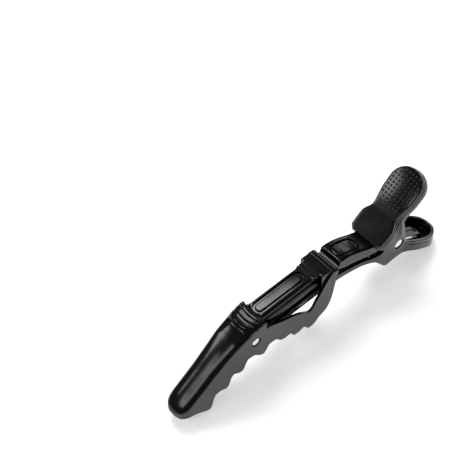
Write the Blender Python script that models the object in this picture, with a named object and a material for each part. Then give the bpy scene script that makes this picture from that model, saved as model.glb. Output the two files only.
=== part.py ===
"""Double-hinged sectioning clip, closed, resting on its beak and on its lower thumb paddle.

X is the width, Y runs from the beak tip (-Y) to the thumb paddles (+Y), Z is up. The side profiles
below are (Y, Z) pairs in millimetres. The front hinge joins the upper jaw to the upper lever and the
rear hinge joins the upper lever to the lower jaw.
"""

import bpy
import bmesh
from math import atan2, cos, pi, radians, sin, sqrt
from mathutils import Matrix, Vector

MM = 0.001
PROFILE_SHIFT_Y = -0.5         # centres the overall length on the origin
SHARP_ANGLE = radians(32.0)

# hinges
FRONT_PIN = (-28.3, 21.0)      # Y, Z of the front hinge
FRONT_PIN_RADIUS = 1.5
FRONT_PIN_HALF_LENGTH = 5.65
REAR_PIN = (35.8, 19.2)        # Y, Z of the rear hinge
REAR_PIN_RADIUS = 1.8
REAR_PIN_HALF_LENGTH = 6.95
PIN_CLEARANCE = 0.05
PIN_CHAMFER = 0.25
PIN_SIDES = 28
RECESS_EXTRA_RADIUS = 0.35     # shallow ring around each pin end
RECESS_DEPTH = 0.3

# upper jaw
JAW_WALL = 1.0
JAW_ROOF = 1.5
TIP_Y = -59.4
TIP_CURVE_START = -54.4
TIP_HALF_WIDTH = 4.65
TIP_MIN_HALF_WIDTH = 1.6
TIP_BLUNTNESS = 2.4
JAW_END_Y = 7.7
JAW_HALF_WIDTH = [(-54.4, 4.65), (-46.0, 4.7), (-40.0, 4.95), (-34.0, 5.4), (-28.0, 5.8), (8.0, 5.8)]
JAW_CROWN = [(-59.4, 6.0), (-59.0, 6.9), (-58.0, 8.0), (-56.0, 9.7), (-54.0, 11.2), (-51.0, 13.4),
             (-47.0, 16.4), (-43.0, 19.5), (-39.0, 22.5), (-35.0, 25.2), (-31.5, 27.1),
             (-28.0, 28.0), (-24.0, 28.5), (-14.0, 29.0), (-3.0, 29.4), (4.7, 29.4), (5.2, 28.7),
             (6.9, 28.4), (7.7, 28.0)]
JAW_CROWN_DROP = [(-59.4, 0.5), (-58.0, 1.4), (-56.0, 2.0), (-47.0, 2.1), (-31.5, 1.8),
                  (-24.0, 1.3), (-3.0, 0.9), (7.7, 0.7)]
JAW_SQUARENESS = [(-59.4, 2.2), (-40.0, 2.4), (-31.5, 2.8), (-24.0, 4.0), (-3.0, 6.0), (7.7, 6.0)]
JAW_LOWER_EDGE = [(-59.4, 4.9), (-58.8, 4.3), (-57.0, 4.0), (-54.5, 3.5), (-52.5, 2.7), (-50.0, 1.3),
                  (-48.3, 0.3), (-47.2, 0.0), (-46.4, 1.2), (-45.6, 4.2), (-44.6, 6.0), (-42.6, 6.3),
                  (-40.3, 5.6), (-39.3, 6.6), (-38.4, 9.5), (-37.2, 10.8), (-34.7, 9.7),
                  (-33.5, 10.1), (-32.5, 12.5), (-31.4, 14.3), (-29.3, 14.3), (-26.7, 12.3),
                  (-25.0, 11.5), (-23.8, 12.5), (-22.5, 14.5), (-19.9, 14.4), (-16.9, 11.6),
                  (-15.0, 11.2), (-13.3, 11.4), (-10.9, 8.7), (-9.0, 8.7), (-6.9, 9.3), (-4.4, 6.6),
                  (-2.6, 6.6), (0.1, 8.6), (3.2, 10.3), (4.7, 12.6), (5.8, 15.9), (6.6, 21.1),
                  (7.2, 24.0), (7.7, 26.2)]
COLLAR_RINGS = [(-31.9, 0.0), (-31.2, 0.9), (-29.8, 0.95), (-29.4, 0.4), (-28.7, 0.4), (-28.4, 0.95),
                (-27.9, 0.95), (-27.6, 0.4), (-27.1, 0.4), (-26.8, 0.95), (-26.3, 0.95), (-26.0, 0.35),
                (-24.6, 0.15), (-24.0, 0.0)]
COLLAR_BOW = 1.4               # ring ends sit this far behind the ring middle
COLLAR_BOW_SPAN = (-36.0, -31.0, -26.0, -21.0)
WING_TOP = [(-24.9, 24.7), (-22.7, 24.4), (-19.0, 22.9), (-15.6, 21.5), (-12.5, 20.4), (-9.9, 19.2),
            (-7.6, 17.9), (-5.6, 16.4), (-4.3, 15.8), (-3.2, 16.4), (-2.3, 18.0), (-1.5, 19.4),
            (-0.4, 20.8), (0.8, 22.9)]
WING_TOP_REAR = [(0.8, 22.9), (2.0, 24.7), (3.2, 26.3), (4.4, 27.8), (5.0, 28.6), (5.1, 29.2)]
RIDGE_HALF_WIDTH = 3.75
BLOCK_HALF_WIDTH = 5.1
HOOD_INNER_HALF_WIDTH = 4.4    # under the rear block
SLOT_Y = (-21.9, -5.4)         # centres of the rounded ends of the slot in the ridge
SLOT_OUTER_RADIUS = 2.5
SLOT_INNER_RADIUS = 1.45
SLOT_DEPTH = 0.6
BLOCK_GROOVES = (-1.6, 0.1)
BLOCK_GROOVE_SIZE = (0.45, 0.35)
CUT_TOP = 40.0                 # above everything the cutters reach
CUT_SIDE = 9.0                 # outside everything the cutters reach
SLOT_ROOF = 28.75              # level of the slot floor's island
BLOCK_ROOF = 29.35
HOOD_CEILING = 27.4
HOOD_START = 3.0
JAW_RECESS_PLANE = 5.75        # side face around the front hinge
LEVER_RECESS_PLANE = 7.05      # side face around the rear hinge

# lower jaw
CHANNEL_WALL = 1.15
CHANNEL_FLOOR = 1.3
LOWER_TIP_Y = -54.5
LOWER_END_Y = 60.4
LOWER_HALF_WIDTH = [(-54.5, 0.9), (-53.5, 1.6), (-52.0, 2.2), (-50.0, 2.6), (-46.0, 2.9),
                    (-40.0, 3.4), (-34.0, 3.8), (-28.0, 4.1), (-12.0, 4.0), (9.0, 4.0), (20.0, 4.4),
                    (28.0, 5.1), (30.0, 5.2), (40.0, 5.2), (42.5, 5.6), (46.0, 6.4), (49.0, 6.7),
                    (52.0, 6.75), (54.2, 6.5), (56.2, 5.8), (57.8, 4.75), (59.0, 3.6), (59.9, 2.3),
                    (60.4, 1.0)]
LOWER_BOTTOM = [(-54.5, 1.9), (-52.0, 2.1), (-48.0, 3.4), (-44.0, 5.7), (-40.0, 8.1), (-37.0, 9.9),
                (-33.0, 12.6), (-29.0, 14.6), (-24.0, 16.2), (-18.0, 17.4), (-10.0, 18.2), (0.0, 18.5),
                (8.0, 18.6), (12.6, 18.3), (19.5, 17.3), (24.2, 15.8), (26.8, 14.3), (29.5, 11.4),
                (32.2, 8.2), (33.4, 7.7), (36.5, 8.2), (40.4, 8.2), (43.0, 7.6), (47.3, 5.6), (52.0, 3.2),
                (55.5, 1.2), (57.8, 0.2), (59.2, 0.0), (60.4, 1.0)]
LOWER_TOP = [(-54.5, 4.2), (-50.0, 6.6), (-44.0, 10.0), (-38.0, 13.6), (-33.0, 16.2), (-30.0, 17.3),
             (-26.0, 17.7), (-20.0, 19.6), (-10.0, 21.0), (0.0, 21.5), (9.5, 21.6), (12.4, 21.0),
             (19.2, 19.8), (26.4, 17.6), (29.0, 17.2), (31.0, 18.0), (32.6, 20.4), (34.0, 21.7),
             (35.8, 22.2), (37.6, 21.7), (39.0, 19.6), (40.3, 16.2), (41.5, 14.4), (45.9, 11.8),
             (53.8, 7.8), (57.5, 6.3), (59.5, 5.6), (60.4, 5.0)]
TOOTH_SPAN = (-51.5, -31.5)
TOOTH_PITCH = 2.5
TOOTH_HEIGHT = 1.1
PAD_Y = (45.6, 52.4)
PAD_RADIUS = 2.35
PAD_HEIGHT = 2.6
PAD_POCKET_Y = (48.0, 50.8)
PAD_POCKET_RADIUS = 0.8
PAD_POCKET_DEPTH = 0.6

# upper lever; the hinge plate is one flat face through PLATE_POINT
PLATE_POINT = (26.3, 25.45)
PLATE_RISE = 0.7436            # Z gained per millimetre of Y along the plate
# (Y on the plate, half width there, Y rim, Z rim, half width at the rim)
LEVER_PLATE = [(25.4, 5.75, 26.0, 22.9, 5.9), (26.3, 6.95, 27.5, 22.4, 6.95),
               (28.2, 7.05, 30.6, 19.6, 7.05), (29.8, 7.1, 33.3, 17.0, 7.1),
               (31.2, 7.05, 35.8, 16.2, 7.1), (32.4, 6.35, 38.2, 17.2, 7.1),
               (33.3, 5.6, 38.9, 19.8, 7.1), (34.1, 5.3, 38.9, 23.2, 6.6)]
LEVER_NECK = (35.2, 32.2, 5.35, 38.6, 27.4, 5.8)
PADDLE_START = (35.2, 32.2)
PADDLE_END = (47.6, 43.0)
PADDLE_WIDTH = [(0.0, 5.35), (2.5, 5.9), (5.5, 6.4), (8.0, 6.5), (20.0, 6.5)]
PADDLE_DEPTH = [(0.0, 5.8), (3.0, 5.1), (12.0, 5.0), (17.3, 4.3)]
PADDLE_END_RADIUS = 6.3
PADDLE_STEPS = (2.0, 4.0, 6.0, 8.3, 10.1, 11.5, 12.8, 13.8, 14.7, 15.4, 15.9, 16.25)
LEVER_WALL = 1.3
LEVER_ROOF = 1.5
LEVER_HOLLOW_START = 2         # index of the first hollow station
LEVER_HOLLOW_END = 3           # stations left solid at the paddle end
LEVER_HOLLOW_REACH = 4.0       # how far the hollow's tool runs past the rim
LEVER_EDGE_ROUND = 0.5
EAR_FLAT_SHARE = 0.45          # share of the side height that stays at the rim width
# bridge arm: (Y top, Z top, Y bottom, Z bottom, half width)
BRIDGE = [(-28.3, 23.7, -28.3, 18.3, 3.4), (-25.5, 25.0, -25.0, 19.3, 3.4), (-20.0, 26.2, -20.0, 20.6, 3.4),
          (-10.0, 26.8, -10.0, 22.0, 3.4), (-2.0, 27.0, -2.0, 22.5, 3.4), (3.0, 27.0, 3.0, 22.9, 3.9),
          (7.8, 27.0, 7.8, 24.3, 4.0), (9.2, 27.1, 9.0, 25.4, 4.5), (9.7, 29.0, 9.5, 25.4, 4.5),
          (12.0, 28.9, 12.0, 24.2, 4.5), (14.5, 28.4, 14.0, 23.6, 4.5), (17.0, 27.5, 16.5, 22.9, 4.5),
          (19.5, 26.4, 19.0, 22.0, 4.5), (22.5, 24.9, 22.2, 20.9, 4.5), (25.4, 23.7, 25.0, 19.8, 4.5),
          (29.8, 22.4, 29.5, 18.7, 4.5)]
BRIDGE_CHAMFER = 0.5
EYE_RADIUS = 2.9
INSET_Y = (13.2, 18.9)         # centres of the rounded ends of the groove on the bridge
INSET_OUTER_RADIUS = 3.1
INSET_INNER_RADIUS = 2.3
INSET_DEPTH = 0.7
INSET_ISLAND_DROP = 0.3
GRIP_ROWS = 10
GRIP_COLUMNS = 8
GRIP_PITCH = 1.45
GRIP_MARGIN = 1.0
GRIP_START = (36.17, 33.05)     # Y, Z of the first row on the paddle face
GRIP_DIRECTION = (0.755, 0.655)
GRIP_SINK = 0.35               # studs start this far under the face
GRIP_RADIUS = 0.4
GRIP_HEIGHT = 0.25

# torsion spring
WIRE_RADIUS = 0.5
COIL_RADIUS = 3.1
COIL_TURNS = 5
COIL_PITCH = 1.2
COIL_STEPS = 18
COIL_START = radians(143.0)
COIL_LAST_TURN = radians(100.0)
UPPER_LEG = [(42.3, 33.1), (40.2, 31.0)]
LOWER_LEG = [(46.5, 10.0), (50.5, 7.3)]
WIRE_SIDES = 6

BLACK = (0.012, 0.012, 0.013)
STEEL = (0.62, 0.62, 0.63)


def clear_scene():
    """Remove every object so the build starts empty."""
    for obj in list(bpy.data.objects):
        bpy.data.objects.remove(obj, do_unlink=True)


def make_material(name, colour, metallic, roughness):
    """One Principled material with a plain colour."""
    material = bpy.data.materials.new(name)
    material.use_nodes = True
    shader = material.node_tree.nodes["Principled BSDF"]
    shader.inputs["Base Color"].default_value = (*colour, 1.0)
    shader.inputs["Metallic"].default_value = metallic
    shader.inputs["Roughness"].default_value = roughness
    return material


def linear(table, y):
    """Value of a (y, value) table at y by straight lines."""
    if y <= table[0][0]:
        return table[0][1]
    for (y0, v0), (y1, v1) in zip(table, table[1:]):
        if y <= y1:
            return v0 + (v1 - v0) * (y - y0) / (y1 - y0)
    return table[-1][1]


def smooth(table, y):
    """Value of a (y, value) table at y by a curve that never overshoots."""
    if y <= table[0][0]:
        return table[0][1]
    if y >= table[-1][0]:
        return table[-1][1]
    slopes = [(b[1] - a[1]) / (b[0] - a[0]) for a, b in zip(table, table[1:])]
    index = max(i for i in range(len(slopes)) if table[i][0] <= y)
    ends = []
    for i in (index, index + 1):
        before = slopes[max(i - 1, 0)]
        after = slopes[min(i, len(slopes) - 1)]
        ends.append(0.0 if before * after <= 0.0 else 2.0 * before * after / (before + after))
    (y0, v0), (y1, v1) = table[index], table[index + 1]
    span = y1 - y0
    t = (y - y0) / span
    return ((2 * t**3 - 3 * t**2 + 1) * v0 + (t**3 - 2 * t**2 + t) * span * ends[0]
            + (3 * t**2 - 2 * t**3) * v1 + (t**3 - t**2) * span * ends[1])


def spread(start, end, step, extra=()):
    """Sorted station positions from start to end, with the extra positions kept."""
    count = max(1, round((end - start) / step))
    values = [start + (end - start) * i / count for i in range(count + 1)]
    for value in extra:
        if start < value < end:
            values = [v for v in values if abs(v - value) > 0.18 or v in (start, end)]
            values.append(value)
    return sorted(set(round(v, 4) for v in values))


def place(x, y, z):
    """Profile millimetres to world metres."""
    return Vector((x * MM, (y + PROFILE_SHIFT_Y) * MM, z * MM))


def mesh_object(name, points, faces, material=None):
    """Closed mesh object from points in profile millimetres."""
    mesh = bpy.data.meshes.new(name)
    mesh.from_pydata([place(*p) for p in points], [], faces)
    work = bmesh.new()
    work.from_mesh(mesh)
    bmesh.ops.recalc_face_normals(work, faces=work.faces)
    work.to_mesh(mesh)
    work.free()
    obj = bpy.data.objects.new(name, mesh)
    bpy.context.scene.collection.objects.link(obj)
    if material:
        mesh.materials.append(material)
    return obj


def loft(name, rings, material=None):
    """Closed body through rings of equal point count, capped at both ends."""
    count = len(rings[0])
    points = [p for ring in rings for p in ring]
    faces = []
    for i in range(len(rings) - 1):
        for j in range(count):
            k = (j + 1) % count
            faces.append((i * count + j, i * count + k, (i + 1) * count + k, (i + 1) * count + j))
    faces.append(tuple(range(count)))
    last = (len(rings) - 1) * count
    faces.append(tuple(last + j for j in reversed(range(count))))
    return mesh_object(name, points, faces, material)


def prism_x(name, outline, x0, x1):
    """Side outline of (Y, Z) pairs swept from x0 to x1."""
    return loft(name, [[(x, y, z) for y, z in outline] for x in (x0, x1)])


def box(name, x, y, z):
    """Box from (low, high) pairs."""
    return prism_x(name, [(y[0], z[0]), (y[1], z[0]), (y[1], z[1]), (y[0], z[1])], x[0], x[1])


def rod_x(name, centre, radii, sides, material=None):
    """Round rod along X through (x, radius) steps."""
    turns = [2 * pi * i / sides for i in range(sides)]
    rings = []
    for x, radius in radii:
        rings.append([(x, centre[0] + radius * cos(a), centre[1] + radius * sin(a)) for a in turns])
    return loft(name, rings, material)


def slot_z(name, y0, y1, radius, z0, z1, steps=10):
    """Upright prism with a rounded-slot outline along Y."""
    turns = [pi * i / steps for i in range(steps + 1)]
    outline = [(radius * cos(a), y1 + radius * sin(a)) for a in turns]
    outline += [(-radius * cos(a), y0 - radius * sin(a)) for a in turns]
    return loft(name, [[(x, y, z) for x, y in outline] for z in (z0, z1)])


def apply_boolean(target, cutter, operation="DIFFERENCE"):
    """Exact boolean baked into the target mesh; the cutter is removed."""
    modifier = target.modifiers.new("cut", "BOOLEAN")
    modifier.operation = operation
    modifier.solver = "EXACT"
    modifier.object = cutter
    graph = bpy.context.evaluated_depsgraph_get()
    baked = bpy.data.meshes.new_from_object(target.evaluated_get(graph))
    target.modifiers.clear()
    old = target.data
    target.data = baked
    baked.name = old.name
    bpy.data.meshes.remove(old)
    bpy.data.objects.remove(cutter, do_unlink=True)


def tidy_mesh(obj):
    """Merge identical points and set smooth shading with sharp creases."""
    work = bmesh.new()
    work.from_mesh(obj.data)
    bmesh.ops.remove_doubles(work, verts=work.verts, dist=0.000001)
    bmesh.ops.triangulate(work, faces=[f for f in work.faces if len(f.verts) > 4])
    bmesh.ops.recalc_face_normals(work, faces=work.faces)
    work.to_mesh(obj.data)
    work.free()
    obj.data.shade_smooth()
    obj.data.set_sharp_from_angle(angle=SHARP_ANGLE)


def set_origin(obj, centre):
    """Move the object origin onto a hinge line without moving the mesh."""
    target = place(0.0, centre[0], centre[1])
    obj.data.transform(Matrix.Translation(-target))
    obj.location = target


def jaw_half_width(y, wall=0.0):
    """Half width of the upper jaw, with its rounded tip."""
    straight = linear(JAW_HALF_WIDTH, y) - wall
    if y >= TIP_CURVE_START:
        return straight
    reach = TIP_CURVE_START - TIP_Y - (0.0 if wall == 0.0 else wall + 0.2)
    along = min(1.0, (TIP_CURVE_START - y) / reach)
    least = TIP_MIN_HALF_WIDTH if wall == 0.0 else TIP_MIN_HALF_WIDTH - 0.5
    round_share = max(0.0, 1.0 - along**TIP_BLUNTNESS) ** (1.0 / TIP_BLUNTNESS)
    return max(least, (TIP_HALF_WIDTH - wall) * round_share)


def collar_bow(y, share):
    """How far a point at this share of the half width trails behind the station."""
    a, b, c, d = COLLAR_BOW_SPAN
    amount = linear([(a, 0.0), (b, 1.0), (c, 1.0), (d, 0.0)], y)
    return COLLAR_BOW * amount * share**2


def crowned_ring(y, half_width, low, crown, shoulder, squareness, bow=True, steps=10):
    """Upright section: straight walls below a rounded top."""
    ring = [(half_width, y, low)]
    for i in range(steps + 1):
        angle = pi * i / steps
        share = abs(cos(angle)) ** (2.0 / squareness)
        x = half_width * share * (1 if cos(angle) >= 0 else -1)
        rise = sin(angle) ** (2.0 / squareness) if 0 < i < steps else 0.0
        z = shoulder + (crown - shoulder) * rise
        ring.append((x, y + (collar_bow(y, share) if bow else 0.0), z))
    ring.append((-half_width, y, low))
    return ring


def build_upper_jaw(material):
    """Beak, collar, ridge, block and scalloped walls in one moulding."""
    keys = [y for y, _ in JAW_LOWER_EDGE + COLLAR_RINGS] + [4.7, 5.2]
    rings = []
    for y in spread(TIP_Y, JAW_END_Y, 1.0, keys + [-59.2, -58.4, -57.8, -56.2, -55.2]):
        crown = smooth(JAW_CROWN, y)
        shoulder = crown - linear(JAW_CROWN_DROP, y)
        low = smooth(JAW_LOWER_EDGE, y)
        crown += linear(COLLAR_RINGS, y)
        square = linear(JAW_SQUARENESS, y)
        rings.append(crowned_ring(y, jaw_half_width(y), low, crown, shoulder, square))
    jaw = loft("upper_jaw", rings, material)

    hollow = []
    keys = (-57.7, -57.2, -56.4, -55.4, -54.0, -0.6, 0.2)
    for y in spread(TIP_Y + 1.3, JAW_END_Y + 1.5, 3.0, keys):
        crown = smooth(JAW_CROWN, min(y, 4.5)) - JAW_ROOF
        half = jaw_half_width(y, JAW_WALL)
        if y > 0.0:
            half = HOOD_INNER_HALF_WIDTH
        if y > HOOD_START:
            crown = min(crown, HOOD_CEILING)
        shoulder = crown - linear(JAW_CROWN_DROP, y)
        square = linear(JAW_SQUARENESS, y)
        hollow.append(crowned_ring(y, half, -5.0, crown, shoulder, square, bow=False, steps=8))
    apply_boolean(jaw, loft("jaw_hollow", hollow))

    for side in (1, -1):
        outline = [(WING_TOP[0][0], CUT_TOP)] + WING_TOP + [(WING_TOP[-1][0], CUT_TOP)]
        apply_boolean(jaw, prism_x("wing_cut", outline, side * RIDGE_HALF_WIDTH, side * CUT_SIDE))
        outline = [(0.5, CUT_TOP), (0.5, 22.4)] + WING_TOP_REAR + [(WING_TOP_REAR[-1][0], CUT_TOP)]
        apply_boolean(jaw, prism_x("corner_cut", outline, side * BLOCK_HALF_WIDTH, side * CUT_SIDE))

    front, rear = SLOT_Y
    ring = slot_z("slot_ring", front, rear, SLOT_OUTER_RADIUS, SLOT_ROOF - SLOT_DEPTH, CUT_TOP)
    apply_boolean(ring, slot_z("slot_island", front, rear, SLOT_INNER_RADIUS, 20.0, SLOT_ROOF))
    apply_boolean(jaw, ring)
    width, depth = BLOCK_GROOVE_SIZE
    for y in BLOCK_GROOVES:
        span = (y - width / 2, y + width / 2)
        apply_boolean(jaw, box("groove", (-CUT_SIDE, CUT_SIDE), span, (BLOCK_ROOF - depth, CUT_TOP)))

    cut_pin_holes(jaw, FRONT_PIN, FRONT_PIN_RADIUS, JAW_RECESS_PLANE)
    tidy_mesh(jaw)
    set_origin(jaw, FRONT_PIN)
    return jaw


def cut_pin_holes(target, centre, radius, side_plane=None):
    """Hole for a hinge pin, with a shallow ring around each end when a side plane is given."""
    hole = radius + PIN_CLEARANCE
    ring = hole + RECESS_EXTRA_RADIUS
    apply_boolean(target, rod_x("hole", centre, [(-CUT_SIDE, hole), (CUT_SIDE, hole)], PIN_SIDES))
    if side_plane is None:
        return
    for side in (1, -1):
        steps = [(side * (side_plane - RECESS_DEPTH), ring), (side * CUT_SIDE, ring)]
        apply_boolean(target, rod_x("recess", centre, steps, PIN_SIDES))


def tooth(y):
    """Height of the saw-tooth edge of the lower jaw at y."""
    if not TOOTH_SPAN[0] <= y <= TOOTH_SPAN[1]:
        return 0.0
    along = ((y - TOOTH_SPAN[0]) / TOOTH_PITCH) % 1.0
    return TOOTH_HEIGHT * (1.0 - abs(2.0 * along - 1.0))


def floor_slab(name, span, low, high, half_width):
    """Slab that follows the channel floor between two heights above it."""
    stations = spread(span[0], span[1], 1.4)
    outline = [(y, smooth(LOWER_BOTTOM, y) + CHANNEL_FLOOR + low) for y in stations]
    outline += [(y, smooth(LOWER_BOTTOM, y) + CHANNEL_FLOOR + high) for y in reversed(stations)]
    return prism_x(name, outline, -half_width, half_width)


def tray_pad():
    """Raised round-ended pad with a shallow pocket, on the floor of the lower paddle."""
    span = (PAD_Y[0] - PAD_RADIUS - 1.0, PAD_Y[1] + PAD_RADIUS + 1.0)
    pad = floor_slab("pad", span, -0.4, PAD_HEIGHT, PAD_RADIUS + 1.0)
    apply_boolean(pad, slot_z("pad_outline", *PAD_Y, PAD_RADIUS, 0.0, CUT_TOP), "INTERSECT")
    pocket = floor_slab("pocket", span, PAD_HEIGHT - PAD_POCKET_DEPTH, PAD_HEIGHT + 1.0, 2.0)
    outline = slot_z("pocket_outline", *PAD_POCKET_Y, PAD_POCKET_RADIUS, 0.0, CUT_TOP)
    apply_boolean(pocket, outline, "INTERSECT")
    apply_boolean(pad, pocket)
    return pad


def build_lower_jaw(material):
    """Toothed channel, rails, knee with ears and hollow paddle in one moulding."""
    teeth = [TOOTH_SPAN[0] + i * TOOTH_PITCH / 2 for i in range(17)]
    keys = teeth + [y for y, _ in LOWER_TOP] + [y for y, _ in LOWER_BOTTOM if y > 24.0]
    rings = []
    for y in spread(LOWER_TIP_Y, LOWER_END_Y, 2.2, keys):
        half = smooth(LOWER_HALF_WIDTH, y)
        low = smooth(LOWER_BOTTOM, y)
        high = smooth(LOWER_TOP, y) + tooth(y)
        edge = min(0.8, 0.3 * half)
        rings.append([(half, y, low + edge), (half, y, high), (-half, y, high), (-half, y, low + edge),
                      (-half + edge, y, low), (half - edge, y, low)])
    jaw = loft("lower_jaw", rings, material)

    hollow = []
    keys = [y for y, _ in LOWER_BOTTOM] + [56.5, 57.4]
    for y in spread(LOWER_TIP_Y + 1.5, LOWER_END_Y - 1.3, 2.6, keys):
        half = smooth(LOWER_HALF_WIDTH, y) - CHANNEL_WALL
        if y > 55.0:
            half = smooth(LOWER_HALF_WIDTH, y + 0.9) - CHANNEL_WALL * 0.6
        floor = smooth(LOWER_BOTTOM, y) + CHANNEL_FLOOR
        half = max(half, 0.35)
        edge = min(0.5, 0.3 * half)
        hollow.append([(half, y, floor + edge), (half, y, 45.0), (-half, y, 45.0), (-half, y, floor + edge),
                       (-half + edge, y, floor), (half - edge, y, floor)])
    apply_boolean(jaw, loft("channel_hollow", hollow))

    apply_boolean(jaw, tray_pad(), "UNION")
    cut_pin_holes(jaw, REAR_PIN, REAR_PIN_RADIUS)
    tidy_mesh(jaw)
    return jaw


def plate_station(y, half_width, y_rim, z_rim, rim_half_width):
    """Shell station whose top lies on the flat hinge plate."""
    z = PLATE_POINT[1] + (y - PLATE_POINT[0]) * PLATE_RISE
    return (y, z, half_width, y_rim, z_rim, rim_half_width)


def paddle_station(s):
    """Shell station at the distance s along the paddle face."""
    span_y = PADDLE_END[0] - PADDLE_START[0]
    span_z = PADDLE_END[1] - PADDLE_START[1]
    length = sqrt(span_y**2 + span_z**2)
    dy = span_y / length
    dz = span_z / length
    y = PADDLE_START[0] + dy * s
    z = PADDLE_START[1] + dz * s
    half = smooth(PADDLE_WIDTH, s)
    past = s - (length - PADDLE_END_RADIUS)
    if past > 0.0:
        half *= sqrt(max(0.02, 1.0 - (past / PADDLE_END_RADIUS)**2))
    depth = smooth(PADDLE_DEPTH, s)
    return (y, z, half, y + dz * depth, z - dy * depth, half + 0.1)


def lever_ring(station, grow=0.0, roof=0.0, drop=0.0):
    """Section of the lever shell between its top face and its rim."""
    y_top, z_top, w_top, y_rim, z_rim, w_rim = station
    length = sqrt((y_rim - y_top)**2 + (z_rim - z_top)**2)
    dy = (y_rim - y_top) / length
    dz = (z_rim - z_top) / length
    w_top = max(w_top + grow, 0.5)
    w_rim = max(w_rim + grow, 0.6)
    top = (y_top + dy * roof, z_top + dz * roof)
    rim = (y_rim + dy * drop, z_rim + dz * drop)
    soft = min(LEVER_EDGE_ROUND, 0.35 * w_top)
    half = soft * 0.3
    rise_y = (y_top - y_rim) * EAR_FLAT_SHARE
    rise_z = (z_top - z_rim) * EAR_FLAT_SHARE
    ring = [(w_rim, rim[0], rim[1]), (w_rim, rim[0] + rise_y, rim[1] + rise_z)]
    ring += [(w_top, top[0] + dy * soft, top[1] + dz * soft)]
    ring += [(w_top - half, top[0] + dy * half, top[1] + dz * half), (w_top - soft, top[0], top[1])]
    return ring + [(-x, y, z) for x, y, z in reversed(ring)]


def between(first, second):
    """Shell station a quarter of the way from the first to the second."""
    return tuple(a + (b - a) * 0.25 for a, b in zip(first, second))


def bridge_ring(station):
    """Chamfered section of the bridge arm."""
    y_top, z_top, y_low, z_low, half = station
    c = BRIDGE_CHAMFER
    length = sqrt((y_low - y_top)**2 + (z_low - z_top)**2)
    dy = (y_low - y_top) / length * c
    dz = (z_low - z_top) / length * c
    ring = [(half - c, y_low, z_low), (half, y_low - dy, z_low - dz)]
    ring += [(half, y_top + dy, z_top + dz), (half - c, y_top, z_top)]
    return ring + [(-x, y, z) for x, y, z in reversed(ring)]


def add_grip_dots(lever):
    """Rows of small studs on the paddle face, joined into one union body."""
    studs = bmesh.new()
    normal = Vector((0.0, -GRIP_DIRECTION[1], GRIP_DIRECTION[0]))
    along = Vector((0.0, GRIP_DIRECTION[0], GRIP_DIRECTION[1]))
    turn = Matrix.Rotation(atan2(GRIP_DIRECTION[1], GRIP_DIRECTION[0]), 4, "X")
    for row in range(GRIP_ROWS):
        for column in range(GRIP_COLUMNS):
            x = (column - (GRIP_COLUMNS - 1) / 2) * GRIP_PITCH
            far = row * GRIP_PITCH
            if abs(x) > paddle_station(far + 1.2)[2] - GRIP_MARGIN:
                continue
            spot = Vector((x, GRIP_START[0], GRIP_START[1])) + along * far
            centre = place(*(spot + normal * (GRIP_HEIGHT - GRIP_SINK)))
            bmesh.ops.create_cone(studs, cap_ends=True, segments=6, radius1=GRIP_RADIUS * MM,
                                  radius2=GRIP_RADIUS * 0.7 * MM, depth=2.0 * GRIP_SINK * MM,
                                  matrix=Matrix.Translation(centre) @ turn)
    mesh = bpy.data.meshes.new("grip_dots")
    studs.to_mesh(mesh)
    studs.free()
    dots = bpy.data.objects.new("grip_dots", mesh)
    bpy.context.scene.collection.objects.link(dots)
    apply_boolean(lever, dots, "UNION")


def under_bridge(name, drop):
    """Body that fills everything lower than this drop under the top of the bridge."""
    top = [(row[0], row[1] - drop) for row in BRIDGE[8:]]
    outline = top + [(top[-1][0], 0.0), (top[0][0], 0.0)]
    return prism_x(name, outline, -CUT_SIDE, CUT_SIDE)


def inset_cutter():
    """Round-ended groove around a slightly lowered island, following the bridge's slope."""
    front, rear = INSET_Y
    ring = slot_z("inset", front, rear, INSET_OUTER_RADIUS, 0.0, CUT_TOP)
    island = slot_z("island", front, rear, INSET_INNER_RADIUS, -1.0, CUT_TOP + 1.0)
    apply_boolean(island, under_bridge("island_top", INSET_ISLAND_DROP), "INTERSECT")
    apply_boolean(ring, island)
    apply_boolean(ring, under_bridge("groove_floor", INSET_DEPTH))
    return ring


def build_upper_lever(material):
    """Arm, arched bridge, hinge plate with ears and dotted paddle in one moulding."""
    stations = [plate_station(*row) for row in LEVER_PLATE] + [LEVER_NECK]
    stations += [paddle_station(s) for s in PADDLE_STEPS]
    lever = loft("upper_lever", [lever_ring(s) for s in stations], material)
    inside = stations[LEVER_HOLLOW_START:-LEVER_HOLLOW_END]
    inside[0] = between(inside[0], inside[1])
    inside[-1] = between(inside[-1], inside[-2])
    hollow = [lever_ring(s, -LEVER_WALL, LEVER_ROOF, LEVER_HOLLOW_REACH) for s in inside]
    apply_boolean(lever, loft("lever_hollow", hollow))
    bridge = loft("bridge", [bridge_ring(s) for s in BRIDGE])
    eye = rod_x("eye", FRONT_PIN, [(-3.4, EYE_RADIUS), (3.4, EYE_RADIUS)], PIN_SIDES)
    apply_boolean(bridge, eye, "UNION")
    apply_boolean(lever, bridge, "UNION")

    apply_boolean(lever, inset_cutter())
    add_grip_dots(lever)

    cut_pin_holes(lever, FRONT_PIN, FRONT_PIN_RADIUS)
    cut_pin_holes(lever, REAR_PIN, REAR_PIN_RADIUS, LEVER_RECESS_PLANE)
    tidy_mesh(lever)
    set_origin(lever, REAR_PIN)
    return lever


def build_pin(name, centre, radius, half_length, material):
    """Plain pin with chamfered ends."""
    end = half_length - PIN_CHAMFER
    steps = [(-half_length, radius - PIN_CHAMFER), (-end, radius)]
    steps += [(end, radius), (half_length, radius - PIN_CHAMFER)]
    pin = rod_x(name, centre, steps, PIN_SIDES, material)
    tidy_mesh(pin)
    set_origin(pin, centre)
    return pin


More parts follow.
